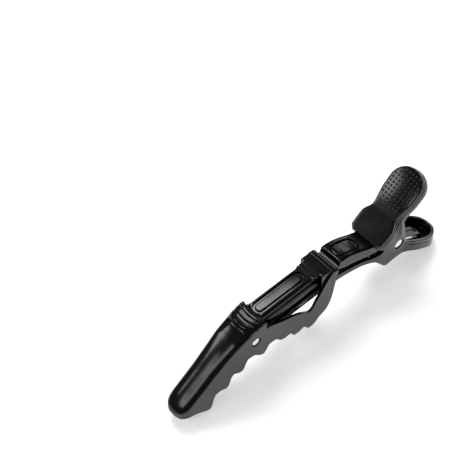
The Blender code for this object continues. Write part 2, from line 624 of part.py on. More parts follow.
def build_spring(material):
    """Coil around the rear pin with one leg under each paddle."""
    y0, z0 = REAR_PIN
    width = COIL_TURNS * COIL_PITCH / 2
    total = 2 * pi * COIL_TURNS + COIL_LAST_TURN
    count = COIL_STEPS * COIL_TURNS + 5
    path = [(-width, y, z) for y, z in UPPER_LEG]
    for i in range(count + 1):
        angle = COIL_START + total * i / count
        x = -width + 2 * width * i / count
        path.append((x, y0 + COIL_RADIUS * cos(angle), z0 + COIL_RADIUS * sin(angle)))
    path += [(width, y, z) for y, z in LOWER_LEG]
    turns = [2 * pi * j / WIRE_SIDES for j in range(WIRE_SIDES)]
    rings = []
    for i, point in enumerate(path):
        here = Vector(point)
        ahead = Vector(path[min(i + 1, len(path) - 1)]) - Vector(path[max(i - 1, 0)])
        out = ahead.cross(Vector((1.0, 0.0, 0.0))).normalized()
        side = out.cross(ahead).normalized()
        rings.append([tuple(here + WIRE_RADIUS * (cos(a) * side + sin(a) * out)) for a in turns])
    spring = loft("torsion_spring", rings, material)
    tidy_mesh(spring)
    set_origin(spring, REAR_PIN)
    return spring


def main():
    """Build every piece."""
    clear_scene()
    build_upper_jaw(make_material("jaw_plastic", BLACK, 0.0, 0.22))
    build_upper_lever(make_material("lever_plastic", BLACK, 0.0, 0.28))
    build_lower_jaw(make_material("lower_plastic", BLACK, 0.0, 0.26))
    steel = make_material("front_pin_steel", STEEL, 1.0, 0.2)
    build_pin("front_pin", FRONT_PIN, FRONT_PIN_RADIUS, FRONT_PIN_HALF_LENGTH, steel)
    steel = make_material("rear_pin_steel", STEEL, 1.0, 0.2)
    build_pin("rear_pin", REAR_PIN, REAR_PIN_RADIUS, REAR_PIN_HALF_LENGTH, steel)
    build_spring(make_material("spring_steel", STEEL, 1.0, 0.35))


main()
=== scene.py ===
"""Looks of the double-hinged sectioning clip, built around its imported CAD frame.

Lengths are in millimetres in the clip's own side profile: X is the width, Y runs from the beak tip
(-Y) to the thumb paddles (+Y) and Z is up. place() turns them into the frame's metres.
"""

from math import atan2, cos, hypot, pi, radians, sin, sqrt

import bmesh
import bpy
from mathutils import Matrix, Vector


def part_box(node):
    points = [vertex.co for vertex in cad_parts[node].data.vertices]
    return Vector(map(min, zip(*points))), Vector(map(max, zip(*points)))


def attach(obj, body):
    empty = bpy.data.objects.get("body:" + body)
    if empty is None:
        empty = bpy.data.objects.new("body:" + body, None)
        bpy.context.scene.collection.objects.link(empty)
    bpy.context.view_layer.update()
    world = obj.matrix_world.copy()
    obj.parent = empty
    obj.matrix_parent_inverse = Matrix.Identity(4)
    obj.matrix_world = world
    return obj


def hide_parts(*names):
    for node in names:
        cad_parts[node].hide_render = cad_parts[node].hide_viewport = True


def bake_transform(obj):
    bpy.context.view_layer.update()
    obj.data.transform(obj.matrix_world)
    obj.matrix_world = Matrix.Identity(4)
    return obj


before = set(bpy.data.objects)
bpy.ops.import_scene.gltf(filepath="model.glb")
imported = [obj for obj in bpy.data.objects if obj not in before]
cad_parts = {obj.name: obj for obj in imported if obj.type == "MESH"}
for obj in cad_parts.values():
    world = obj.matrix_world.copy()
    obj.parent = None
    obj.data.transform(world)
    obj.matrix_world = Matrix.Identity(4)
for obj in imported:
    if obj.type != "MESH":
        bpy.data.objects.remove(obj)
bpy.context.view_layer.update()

MM = 0.001
RIM_ROUND = 0.14  # rounding of the shells' open edges
MERGE_DISTANCE = 0.000002  # metres

# spacing of the cross sections
JAW_SPACING = 0.36
LOWER_SPACING = 0.42
LEVER_SPACING = 0.3
BRIDGE_SPACING = 0.5

# upper jaw: outline tables of (Y, value)
TIP_Y = -59.4
TIP_CURVE_START = -54.4
TIP_HALF_WIDTH = 4.65
TIP_BLUNTNESS = 2.4
TIP_LEAST = 1.3
JAW_END_Y = 7.7
JAW_WALL = 1.0
JAW_ROOF = 1.5
HOOD_CEILING = 27.4
JAW_HALF_WIDTH = [(-54.4, 4.65), (-46.0, 4.7), (-40.0, 4.95), (-34.0, 5.4), (-28.0, 5.8), (8.0, 5.8)]
JAW_CROWN = [
    (-59.4, 6.0), (-59.0, 6.9), (-58.0, 8.0), (-56.0, 9.7), (-54.0, 11.2), (-51.0, 13.4),
    (-47.0, 16.4), (-43.0, 19.5), (-39.0, 22.5), (-35.0, 25.2), (-31.5, 27.1), (-28.0, 28.0),
    (-24.0, 28.5), (-14.0, 29.0), (-3.0, 29.4), (4.7, 29.4), (5.2, 28.7), (6.9, 28.4), (7.7, 28.0)
]
JAW_DROP = [
    (-59.4, 0.5), (-58.0, 1.4), (-56.0, 2.0), (-47.0, 2.1), (-31.5, 1.8), (-24.0, 1.3), (-3.0, 0.9),
    (7.7, 0.7)
]
JAW_SQUARENESS = [(-59.4, 2.2), (-40.0, 2.4), (-31.5, 2.8), (-24.0, 4.0), (-3.0, 6.0), (7.7, 6.0)]
JAW_LOWER_EDGE = [
    (-59.4, 4.9), (-58.8, 4.3), (-57.0, 4.0), (-54.5, 3.5), (-52.5, 2.7), (-50.0, 1.3),
    (-48.3, 0.3), (-47.2, 0.05), (-46.4, 1.2), (-45.6, 4.2), (-44.6, 6.0), (-42.6, 6.3),
    (-40.3, 5.6), (-39.3, 6.6), (-38.4, 9.5), (-37.2, 10.8), (-34.7, 9.7), (-33.5, 10.1),
    (-32.5, 12.5), (-31.4, 14.3), (-29.3, 14.3), (-26.7, 12.3), (-25.0, 11.5), (-23.8, 12.5),
    (-22.5, 14.5), (-19.9, 14.4), (-16.9, 11.6), (-15.0, 11.2), (-13.3, 11.4), (-10.9, 8.7),
    (-9.0, 8.7), (-6.9, 9.3), (-4.4, 6.6), (-2.6, 6.6), (0.1, 8.6), (3.2, 10.3), (4.7, 12.6),
    (5.8, 15.9), (6.6, 21.1), (7.2, 24.0), (7.7, 26.2)
]
WALL_SHARE = [(-59.4, 0.6), (-35.0, 0.8), (-24.9, 0.846)]  # part of the side below the shoulder bend
COLLAR_RINGS = [
    (-31.9, 0.0), (-31.2, 0.9), (-29.8, 0.95), (-29.4, 0.4), (-28.7, 0.4), (-28.4, 0.95),
    (-27.9, 0.95), (-27.6, 0.4), (-27.1, 0.4), (-26.8, 0.95), (-26.3, 0.95), (-26.0, 0.35),
    (-24.6, 0.15), (-24.0, 0.0)
]
COLLAR_BOW = 1.4
COLLAR_BOW_SHARE = [(-36.0, 0.0), (-31.0, 1.0), (-26.0, 1.0), (-21.0, 0.0)]
WINDOW_Y = (-24.9, 0.8)
WING_TOP = [
    (-24.9, 24.7), (-22.7, 24.4), (-19.0, 22.9), (-15.6, 21.5), (-12.5, 20.4), (-9.9, 19.2),
    (-7.6, 17.9), (-5.6, 16.4), (-4.3, 15.8), (-3.2, 16.4), (-2.3, 18.0), (-1.5, 19.4),
    (-0.4, 20.8), (0.8, 22.9)
]
CORNER_TOP = [(0.8, 22.9), (2.0, 24.7), (3.2, 26.3), (4.4, 27.6), (5.0, 28.2)]
HOOD_Y = 5.05
HOOD_ROUND = 0.16  # radius of the hood's front edge
HOOD_INNER_HALF_WIDTH = 4.4
HOOD_START = 3.0
INNER_CROWN_END = 4.5  # past this the inside keeps the height of its crown
INNER_BLEND = 1.2  # length over which the inside narrows behind the window
TIP_SOLID = 1.1
RIDGE_HALF_WIDTH = 3.75
BLOCK_HALF_WIDTH = 5.1
BLOCK_GROOVES = (-1.6, 0.1)
GROOVE_WIDTH = 0.5
GROOVE_DEPTH = 0.35
RIDGE_ROLL = 1.2  # how far the ridge rolls down at its two edges
RIDGE_ROLL_START = 2.62
RIDGE_ROLL_SHARE = [(-26.2, 0.0), (-23.5, 1.0), (-3.2, 1.0), (-2.0, 0.0)]
RIDGE_SLOT_Y = (-21.9, -5.4)
RIDGE_SLOT_RADII = (2.5, 1.45)
RIDGE_SLOT_ABOVE = 25.0  # the slot cuts only what is higher than this
JAW_SEAT_DEPTH = 1.1

# lower jaw
CHANNEL_WALL = 1.15
LOWER_TIP_Y = -54.5
LOWER_END_Y = 60.4
LOWER_TIP_SLOPE = 0.8  # slopes of the outline used for the wall right at its two ends
LOWER_END_SLOPE = -2.6
LOWER_HALF_WIDTH = [
    (-54.5, 0.9), (-53.5, 1.6), (-52.0, 2.2), (-50.0, 2.6), (-46.0, 2.9), (-40.0, 3.4),
    (-34.0, 3.8), (-28.0, 4.1), (-12.0, 4.0), (9.0, 4.0), (20.0, 4.4), (28.0, 5.1), (30.0, 5.2),
    (40.0, 5.2), (42.5, 5.6), (46.0, 6.4), (49.0, 6.7), (52.0, 6.75), (54.2, 6.5), (56.2, 5.8),
    (57.8, 4.75), (59.0, 3.6), (59.9, 2.3), (60.4, 1.0)
]
LOWER_BOTTOM = [
    (-54.5, 1.9), (-52.0, 2.1), (-48.0, 3.4), (-44.0, 5.7), (-40.0, 8.1), (-37.0, 9.9),
    (-33.0, 12.6), (-29.0, 14.6), (-24.0, 16.2), (-18.0, 17.4), (-10.0, 18.2), (0.0, 18.5),
    (8.0, 18.6), (12.6, 18.3), (19.5, 17.3), (24.2, 15.8), (26.8, 14.3), (29.5, 11.4), (32.2, 8.2),
    (33.4, 7.7), (36.5, 8.2), (40.4, 8.2), (43.0, 7.6), (47.3, 5.6), (52.0, 3.2), (55.5, 1.2),
    (57.8, 0.25), (59.2, 0.05), (60.4, 1.0)
]
LOWER_TOP = [
    (-54.5, 4.2), (-50.0, 6.6), (-44.0, 10.0), (-38.0, 13.6), (-33.0, 16.2), (-30.0, 17.3),
    (-26.0, 17.7), (-20.0, 19.6), (-10.0, 21.0), (0.0, 21.5), (9.5, 21.6), (12.4, 21.0),
    (19.2, 19.8), (26.4, 17.6), (29.0, 17.2), (31.0, 18.0), (32.6, 20.4), (34.0, 21.7),
    (35.8, 22.2), (37.6, 21.7), (39.0, 19.6), (40.3, 16.2), (41.5, 14.4), (45.9, 11.8), (53.8, 7.8),
    (57.5, 6.3), (59.5, 5.6), (60.4, 5.0)
]
TOOTH_SPAN = (-51.5, -31.5)
TOOTH_PITCH = 2.5
TOOTH_HEIGHT = 1.1
TRAY_START_Y = 41.5
PAD_Y = (45.6, 52.4)
PAD_RADIUS = 2.35
PAD_HEIGHT = 2.6
CHANNEL_FLOOR = 1.3
RAIL_HEIGHT = 1.25
RAIL_GROOVE = 0.22

# upper lever: the plate's rows are (Y, half width, Y rim, Z rim, half width at the rim)
PLATE_HALF_WIDTH = 7.1
PLATE_POINT = (26.3, 25.45)
PLATE_RISE = 0.7436
LEVER_PLATE = [
    (25.4, 5.75, 26.0, 22.9, 5.9), (26.3, 6.95, 27.5, 22.4, 6.95), (28.2, 7.05, 30.6, 19.6, 7.05),
    (29.8, 7.1, 33.3, 17.0, 7.1), (31.2, 7.05, 35.8, 16.2, 7.1), (32.4, 6.35, 38.2, 17.2, 7.1),
    (33.3, 5.6, 38.9, 19.8, 7.1), (34.1, 5.3, 38.9, 23.2, 6.6)
]
PADDLE_START = (35.2, 32.2)
PADDLE_END = (47.45, 42.86)
LEVER_NECK = (*PADDLE_START, 5.35, 38.6, 27.4, 5.8)
PADDLE_WIDTH = [(0.0, 5.35), (2.5, 5.9), (5.5, 6.4), (8.0, 6.5), (20.0, 6.5)]
PADDLE_DEPTH = [(0.0, 5.8), (3.0, 5.1), (12.0, 5.0), (17.3, 4.3)]
PADDLE_END_RADIUS = 6.3
LEVER_WALL = 1.3
LEVER_ROOF = 1.5
LEVER_SOLID = 1.9
LEVER_SEAT_DEPTH = 1.3
LEVER_LINES = (1.35, 2.6)  # distance of the two side grooves under the top edge
LINE_HALF_WIDTH = 0.26
LINE_DEPTH = 0.2
SECTION_HALF = 6.0  # nominal half width the lever profile is drawn at

# bridge rows: (Y on top, Z on top, Y underneath, Z underneath, half width)
BRIDGE = [
    (-28.3, 23.7, -28.3, 18.3, 3.4), (-25.5, 25.0, -25.0, 19.3, 3.4),
    (-20.0, 26.2, -20.0, 20.6, 3.4), (-10.0, 26.8, -10.0, 22.0, 3.4), (-2.0, 27.0, -2.0, 22.5, 3.4),
    (3.0, 27.0, 3.0, 22.9, 3.9), (7.8, 27.0, 7.8, 24.3, 4.0), (9.2, 27.1, 9.0, 25.4, 4.5),
    (9.7, 29.0, 9.5, 25.4, 4.5), (12.0, 28.9, 12.0, 24.2, 4.5), (14.5, 28.4, 14.0, 23.6, 4.5),
    (17.0, 27.5, 16.5, 22.9, 4.5), (19.5, 26.4, 19.0, 22.0, 4.5), (22.5, 24.9, 22.2, 20.9, 4.5),
    (25.4, 23.7, 25.0, 19.8, 4.5), (29.8, 22.4, 29.5, 18.7, 4.5)
]
BRIDGE_FACE_Y = 9.2  # foot of the hump's front face
BRIDGE_HUMP_Y = 9.45
ARM_ROOF_WIDTH = 1.2  # half width left flat on top of the arm inside the window
ARM_LEAN_HEIGHT = 2.9  # the arm's sides lean in over this height below its top
ARM_ROOF_SHARE = [(-27.0, 0.0), (-24.0, 1.0), (2.0, 1.0), (7.0, 0.0)]
EYE_RADIUS = 2.9
BRIDGE_INSET_Y = (13.2, 18.9)
BRIDGE_INSET_RADII = (3.1, 2.3)
INSET_CUT_DEPTH = 1.1
INSET_CUT_TOP = 34.0
PADDLE_BULGE = (0.010, 0.005)  # gentle doming of the thumb face, across and along
BULGE_FULL = 5.0  # distance along the face where the doming across is full
BULGE_BEND = 8.0  # and where the doming along begins
GRIP_ROWS = 10
GRIP_COLUMNS = 8
GRIP_PITCH = 1.45
GRIP_MARGIN = 1.0
GRIP_START = 1.28  # distance of the first row along the paddle face
STUD_RADIUS = 0.46
STUD_HEIGHT = 0.24

# spring and pins
WIRE_RADIUS = 0.48
COIL_RADIUS = 3.1
COIL_TURNS = 5
COIL_PITCH = 1.2
COIL_START = radians(143.0)
COIL_LAST_TURN = radians(100.0)
UPPER_LEG = [(42.3, 33.1), (40.2, 31.0)]
LOWER_LEG = [(46.5, 10.0), (50.5, 7.3)]
PIN_RECESS = 0.32
PIN_RECESS_WIDTH = 0.36
PIN_HOLE_BEYOND = 3.0  # a pin's hole opens only the walls farther out than this

SHIFT_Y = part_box("upper_jaw")[0][1] / MM - TIP_Y


def place(x, y, z):
    """Profile millimetres to the frame's metres."""
    return Vector((x * MM, (y + SHIFT_Y) * MM, z * MM))


def pin_centre(node):
    """(Y, Z) of a pin's middle in profile millimetres, and its radius and half length."""
    low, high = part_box(node)
    y = (low[1] + high[1]) / 2 / MM - SHIFT_Y
    z = (low[2] + high[2]) / 2 / MM
    return (y, z), (high[2] - low[2]) / 2 / MM, (high[0] - low[0]) / 2 / MM


FRONT_PIN, FRONT_PIN_RADIUS, FRONT_PIN_HALF = pin_centre("front_pin")
REAR_PIN, REAR_PIN_RADIUS, REAR_PIN_HALF = pin_centre("rear_pin")


# ---- curves

def linear(table, y):
    """Value of a (y, value) table at y by straight lines."""
    if y <= table[0][0]:
        return table[0][1]
    for (y0, v0), (y1, v1) in zip(table, table[1:]):
        if y <= y1:
            return v0 + (v1 - v0) * (y - y0) / (y1 - y0)
    return table[-1][1]


def smooth(table, y):
    """Value of a (y, value) table at y by a curve that never overshoots."""
    if y <= table[0][0]:
        return table[0][1]
    if y >= table[-1][0]:
        return table[-1][1]
    slopes = [(b[1] - a[1]) / (b[0] - a[0]) for a, b in zip(table, table[1:])]
    index = max(i for i in range(len(slopes)) if table[i][0] <= y)
    ends = []
    for i in (index, index + 1):
        before = slopes[max(i - 1, 0)]
        after = slopes[min(i, len(slopes) - 1)]
        ends.append(0.0 if before * after <= 0.0 else 2.0 * before * after / (before + after))
    (y0, v0), (y1, v1) = table[index], table[index + 1]
    span = y1 - y0
    t = (y - y0) / span
    return ((2 * t**3 - 3 * t**2 + 1) * v0 + (t**3 - 2 * t**2 + t) * span * ends[0]
            + (3 * t**2 - 2 * t**3) * v1 + (t**3 - t**2) * span * ends[1])


def softened(table, y, reach):
    """Straight-line table value averaged over a short reach, which rounds its corners."""
    return (linear(table, y - reach) + 2.0 * linear(table, y) + linear(table, y + reach)) / 4.0


def stations(start, end, step, extra=()):
    """Evenly spread positions with the extra ones kept exactly."""
    count = max(1, round((end - start) / step))
    values = [start + (end - start) * i / count for i in range(count + 1)]
    fixed = (start, end, *extra)
    for value in extra:
        if start < value < end:
            values = [v for v in values if abs(v - value) > 0.3 * step or v in fixed] + [value]
    return sorted(set(values))


def rounded_path(keys, corner_steps=4):
    """Points along straight runs with rounded corners, from keys (x, z, radius, points to the next)."""
    points = []
    for i, (x, z, radius, run) in enumerate(keys):
        here = Vector((x, z))
        if radius and 0 < i < len(keys) - 1:
            before = Vector(keys[i - 1][:2]) - here
            after = Vector(keys[i + 1][:2]) - here
            start = here + before.normalized() * min(radius, before.length * 0.45)
            end = here + after.normalized() * min(radius, after.length * 0.45)
            for k in range(corner_steps + 1):
                t = k / corner_steps
                points.append(start * (1 - t)**2 + here * 2 * t * (1 - t) + end * t**2)
        else:
            points.append(here)
        if i < len(keys) - 1:
            following = Vector(keys[i + 1][:2])
            towards = following - here
            reach = keys[i + 1][2] if i + 1 < len(keys) - 1 else 0.0
            stop = following - towards.normalized() * min(reach, towards.length * 0.45)
            begin = points[-1]
            points += [begin.lerp(stop, k / run) for k in range(1, run)]
    return [(p.x, p.y) for p in points]


def mirrored(half):
    """Full section from its +X half, which ends on the middle line."""
    return half + [(-p[0], *p[1:]) for p in reversed(half[:-1])]


# ---- meshes

def add_object(name, data):
    """New object in the scene."""
    obj = bpy.data.objects.new(name, data)
    bpy.context.scene.collection.objects.link(obj)
    return obj


def new_object(name, vertices, faces):
    """Object from world points in metres."""
    mesh = bpy.data.meshes.new(name)
    mesh.from_pydata([tuple(v) for v in vertices], [], faces)
    mesh.validate()
    return add_object(name, mesh)


def strip_cap(first, count):
    """Faces that close a mirrored section across its width."""
    last = first + count - 1
    middle = (count - 1) // 2
    faces = [(first + j, first + j + 1, last - j - 1, last - j) for j in range(middle - 1)]
    return faces + [(first + middle - 1, first + middle, first + middle + 1)]


def shell(name, outer, inner, keep=None, crisp=(), cap_end=True):
    """Walled body between an outer and an inner grid of points, with softly rounded rims.

    keep(i, j) false leaves an opening between the stations i and i + 1. Rims between the crisp
    grid positions stay square.
    """
    count = len(outer[0])
    shift = count * len(outer)
    points = [place(*p) for grid in (outer, inner) for ring in grid for p in ring]
    faces = []
    for i in range(len(outer) - 1):
        for j in range(count - 1):
            if keep is None or keep(i, j):
                a = i * count + j
                faces.append((a, a + count, a + count + 1, a + 1))
    faces += strip_cap(0, count)
    if cap_end:
        faces += [tuple(reversed(f)) for f in strip_cap(shift - count, count)]
    edges = {edge for f in faces for edge in zip(f, f[1:] + f[:1])}
    rims = [(b, a, a + shift, b + shift) for a, b in sorted(edges) if (b, a) not in edges]
    backs = [tuple(v + shift for v in reversed(f)) for f in faces]
    obj = new_object(name, points, faces + backs + rims)
    square = {i * count + j for i, j in crisp}
    for polygon, (b, a, _, _) in zip(obj.data.polygons[len(faces) + len(backs):], rims):
        polygon.material_index = 0 if a in square and b in square else 1
    clean(obj)
    round_rims(obj)
    return obj


def round_rims(obj):
    """Round the edges between the rim faces (material index 1) and the walls."""
    work = bmesh.new()
    work.from_mesh(obj.data)
    weight = work.edges.layers.float.new("bevel_weight_edge")
    for edge in work.edges:
        kinds = {f.material_index for f in edge.link_faces}
        edge[weight] = 1.0 if len(kinds) == 2 else 0.0
    work.to_mesh(obj.data)
    work.free()
    bevel = obj.modifiers.new("rounds", "BEVEL")
    bevel.width = RIM_ROUND * MM
    bevel.segments = 2
    bevel.limit_method = "WEIGHT"
    bevel.use_clamp_overlap = False
    bake(obj)
    for polygon in obj.data.polygons:
        polygon.material_index = 0


def tube(name, rings):
    """Closed body through closed rings of equal point count."""
    count = len(rings[0])
    vertices = [place(*p) for ring in rings for p in ring]
    faces = []
    for i in range(len(rings) - 1):
        for j in range(count):
            k = (j + 1) % count
            faces.append((i * count + j, i * count + k, (i + 1) * count + k, (i + 1) * count + j))
    faces.append(tuple(range(count)))
    faces.append(tuple((len(rings) - 1) * count + j for j in reversed(range(count))))
    obj = new_object(name, vertices, faces)
    clean(obj)
    return obj


def clean(obj):
    """Merge equal points, drop loose ones and turn a closed body's faces outwards."""
    work = bmesh.new()
    work.from_mesh(obj.data)
    bmesh.ops.remove_doubles(work, verts=work.verts, dist=MERGE_DISTANCE)
    bmesh.ops.delete(work, geom=[v for v in work.verts if not v.link_faces], context="VERTS")
    if all(len(e.link_faces) == 2 for e in work.edges):
        bmesh.ops.recalc_face_normals(work, faces=work.faces)
    work.to_mesh(obj.data)
    work.free()


def bake(obj):
    """Apply every modifier of an object to its mesh."""
    graph = bpy.context.evaluated_depsgraph_get()
    baked = bpy.data.meshes.new_from_object(obj.evaluated_get(graph))
    obj.modifiers.clear()
    obj.data = baked


def cut(target, cutter, operation="DIFFERENCE"):
    """Exact boolean; the cutter is removed."""
    modifier = target.modifiers.new("cut", "BOOLEAN")
    modifier.operation = operation
    modifier.solver = "EXACT"
    modifier.object = cutter
    bake(target)
    bpy.data.objects.remove(cutter, do_unlink=True)


def finish_mesh(obj):
    """Smooth shading that keeps flat faces flat."""
    obj.data.shade_smooth()
    obj.data.set_sharp_from_angle(angle=radians(40.0))
    weighted = obj.modifiers.new("flat_faces", "WEIGHTED_NORMAL")
    weighted.keep_sharp = True
    weighted.mode = "FACE_AREA"
    bake(obj)


def join(target, others):
    """Join several objects into the first."""
    with bpy.context.temp_override(active_object=target, object=target,
                                   selected_editable_objects=[target] + others,
                                   selected_objects=[target] + others):
        bpy.ops.object.join()
    return target


def rod(name, centre, steps, sides=56):
    """Round rod along X through (x, radius) steps, in profile millimetres."""
    turns = [2 * pi * i / sides for i in range(sides)]
    rings = [[(x, centre[0] + r * cos(a), centre[1] + r * sin(a)) for a in turns] for x, r in steps]
    return tube(name, rings)


def stadium(front, rear, radius):
    """Closed round-ended outline along Y as (x, y) pairs, with as many points at any radius."""
    steps = 14
    turns = [pi * i / steps for i in range(steps + 1)]
    right = [(radius * cos(a), rear + radius * sin(a)) for a in turns]
    left = [(-radius * cos(a), front - radius * sin(a)) for a in turns]
    runs = 12
    side_a = [(-radius, rear + (front - rear) * k / runs) for k in range(1, runs)]
    side_b = [(radius, front + (rear - front) * k / runs) for k in range(1, runs)]
    return right + side_a + left + side_b


def inlay(name, span, profile, surface):
    """Ring-and-island panel: profile is (distance from the middle line, height over the surface)."""
    rings = []
    for distance, height in profile:
        outline = stadium(span[0], span[1], max(distance, 0.02))
        rings.append([(x, y, surface(y) + height) for x, y in outline])
    panel = tube(name, rings)
    finish_mesh(panel)
    return panel


def punch(outer, inner, push):
    """Open a hole in both grids: points inside move to its edge. Returns the moved grid positions."""
    moved = set()
    for i, ring in enumerate(outer):
        for j, point in enumerate(ring):
            edge = push(*point)
            if edge:
                moved.add((i, j))
                ring[j] = edge
                inner[i][j] = push(*inner[i][j]) or inner[i][j]
    return moved


def round_hole(centre, radius):
    """push() for a round hole along X through the side walls."""
    def push(x, y, z):
        away = hypot(y - centre[0], z - centre[1])
        if abs(x) < PIN_HOLE_BEYOND or away >= radius:
            return None
        grow = radius / max(away, 0.001)
        return (x, centre[0] + (y - centre[0]) * grow, centre[1] + (z - centre[1]) * grow)
    return push


def stadium_hole(front, rear, radius, above):
    """push() for an upright round-ended hole through everything higher than above."""
    def push(x, y, z):
        middle = min(max(y, front), rear)
        away = hypot(x, y - middle)
        if z < above or away >= radius:
            return None
        grow = radius / max(away, 0.001)
        return (x * grow, middle + (y - middle) * grow, z)
    return push


def keeps(moved):
    """keep() that drops the faces whose four corners were all inside a hole."""
    return lambda i, j: not {(i, j), (i + 1, j), (i, j + 1), (i + 1, j + 1)} <= moved


def seat_ring(centre, radius, side, depth):
    """Ring that lines a pin hole, a little under the wall's surface at x = side."""
    sides = 64
    sign = 1 if side > 0 else -1
    wide = radius + PIN_RECESS_WIDTH + 0.06
    profile = [(PIN_RECESS, wide), (PIN_RECESS, radius + 0.1), (PIN_RECESS + 0.06, radius + 0.03),
               (depth, radius + 0.03), (depth, wide)]
    rows = len(profile)
    points = []
    faces = []
    for i in range(sides):
        turn = 2 * pi * i / sides
        for inward, r in profile:
            y = centre[0] + r * cos(turn)
            points.append(place(side - sign * inward, y, centre[1] + r * sin(turn)))
        k = (i + 1) % sides
        for j in range(rows):
            m = (j + 1) % rows
            faces.append((i * rows + j, i * rows + m, k * rows + m, k * rows + j))
    ring = new_object("seat", points, faces)
    clean(ring)
    finish_mesh(ring)
    return ring


# ---- upper jaw

# points of a half section on the wall, in the middle part and on the ridge
WALL_POINTS = 26
MIDDLE_POINTS = 14
RIDGE_POINTS = 24


def jaw_half_width(y):
    """Half width of the upper jaw with its rounded tip."""
    if y >= TIP_CURVE_START:
        return linear(JAW_HALF_WIDTH, y)
    along = min(1.0, (TIP_CURVE_START - y) / (TIP_CURVE_START - TIP_Y))
    share = max(0.0, 1.0 - along**TIP_BLUNTNESS) ** (1.0 / TIP_BLUNTNESS)
    return max(TIP_LEAST, TIP_HALF_WIDTH * share)


class JawArch:
    """Rounded top of the upper jaw at one station: its outside, or its inside when thinned."""

    def __init__(self, y, inside=False, shrink=0.0):
        self.half = jaw_half_width(y) - shrink
        base = smooth(JAW_CROWN, min(y, INNER_CROWN_END) if inside else y)
        self.crown = base + softened(COLLAR_RINGS, y, 0.1) - shrink
        if inside:
            inner = jaw_half_width(y) - JAW_WALL
            blend = min(1.0, max(0.0, (y - WINDOW_Y[1]) / INNER_BLEND))
            self.half = max(inner + (HOOD_INNER_HALF_WIDTH - inner) * blend, 0.4)
            base -= JAW_ROOF
            if y > HOOD_START:
                base = min(base, HOOD_CEILING)
            self.crown = base
        self.shoulder = base - linear(JAW_DROP, y)
        self.power = linear(JAW_SQUARENESS, y)

    def height(self, x):
        """Z of the arch at x."""
        share = min(1.0, abs(x) / self.half)
        rise = (1.0 - share**self.power) ** (1.0 / self.power)
        return self.shoulder + (self.crown - self.shoulder) * rise

    def angle(self, x):
        """Polar angle of the arch at x, 0 at the shoulder."""
        share = min(0.999, abs(x) / self.half)
        return atan2((1.0 - share**self.power) ** (1.0 / self.power), share)

    def at(self, angle):
        """(x, z) of the arch at a polar angle."""
        c = abs(cos(angle))
        s = abs(sin(angle))
        r = (c**self.power + s**self.power) ** (-1.0 / self.power)
        return self.half * r * c, self.shoulder + (self.crown - self.shoulder) * r * s


def groove_dip(y):
    """Depth of the two cross grooves on the block."""
    dip = 0.0
    for middle in BLOCK_GROOVES:
        away = abs(y - middle) / (GROOVE_WIDTH / 2)
        dip = max(dip, GROOVE_DEPTH * max(0.0, 1.0 - away**4))
    return dip


def ridge_roll(x, y):
    """Drop of the ridge's rounded shoulders at x."""
    over = max(0.0, abs(x) - RIDGE_ROLL_START) / (RIDGE_HALF_WIDTH - RIDGE_ROLL_START)
    return RIDGE_ROLL * linear(RIDGE_ROLL_SHARE, y) * over**2


def wall_top(y, low, shoulder):
    """Z where the side wall ends and the middle part, or the window, begins."""
    if WINDOW_Y[0] < y < WINDOW_Y[1]:
        return smooth(WING_TOP, y)
    if WINDOW_Y[1] <= y < HOOD_Y:
        return smooth(CORNER_TOP, y)
    if y >= HOOD_Y:
        return shoulder - 0.35
    return low + (shoulder - low) * linear(WALL_SHARE, y)


def jaw_half_section(y, inside=False):
    """Half of a jaw section at y: wall, middle part and ridge, from the lower edge to the crown."""
    hood = max(0.0, HOOD_ROUND - (y - HOOD_Y)) if y >= HOOD_Y else 0.0
    shrink = HOOD_ROUND - sqrt(max(0.0, HOOD_ROUND**2 - hood**2))
    arch = JawArch(y, inside, 0.0 if inside else shrink)
    half = arch.half
    low = smooth(JAW_LOWER_EDGE, y)
    ridge = min(RIDGE_HALF_WIDTH, 0.72 * half)
    top = wall_top(y, low, arch.shoulder)
    if inside and not WINDOW_Y[0] < y < WINDOW_Y[1]:
        top = min(wall_top(y, low, JawArch(y).shoulder), arch.shoulder - 0.1)
    points = [(half, low + (top - low) * i / WALL_POINTS) for i in range(WALL_POINTS + 1)]
    if WINDOW_Y[1] <= y < HOOD_Y and not inside:
        side = arch.height(BLOCK_HALF_WIDTH)
        keys = [(half, top, 0.0, 2), (BLOCK_HALF_WIDTH, top, 0.12, 3), (BLOCK_HALF_WIDTH, side, 0.3, 3),
                (ridge, arch.height(ridge), 0.0, 1)]
        middle = rounded_path(keys, 3)[1:]
    else:
        count = 3
        middle = [(half, top + (arch.shoulder - top) * k / count) for k in range(1, count + 1)]
        last = arch.angle(ridge)
        turns = MIDDLE_POINTS - count
        middle += [arch.at(last * k / turns) for k in range(1, turns + 1)]
    points += middle
    points += [(ridge * (1 - k / RIDGE_POINTS), arch.height(ridge * (1 - k / RIDGE_POINTS)))
               for k in range(1, RIDGE_POINTS + 1)]
    if WINDOW_Y[0] < y < WINDOW_Y[1]:
        ease = 0.6 if inside else 1.0
        points = [(x, z - ease * (ridge_roll(x, y) if i >= WALL_POINTS + MIDDLE_POINTS else 0.0))
                  for i, (x, z) in enumerate(points)]
    if inside:
        return [(x, y, z) for x, z in points]
    bow = COLLAR_BOW * linear(COLLAR_BOW_SHARE, y)
    dip = groove_dip(y)
    section = []
    for x, z in points:
        lift = max(0.0, (z - arch.shoulder) / max(arch.crown - arch.shoulder, 0.01))
        climb = min(1.0, max(0.0, (z - low) / (arch.shoulder - low)))
        section.append((x, y + bow * (x / half)**2 * climb**2, z - dip * min(1.0, lift)))
    return section


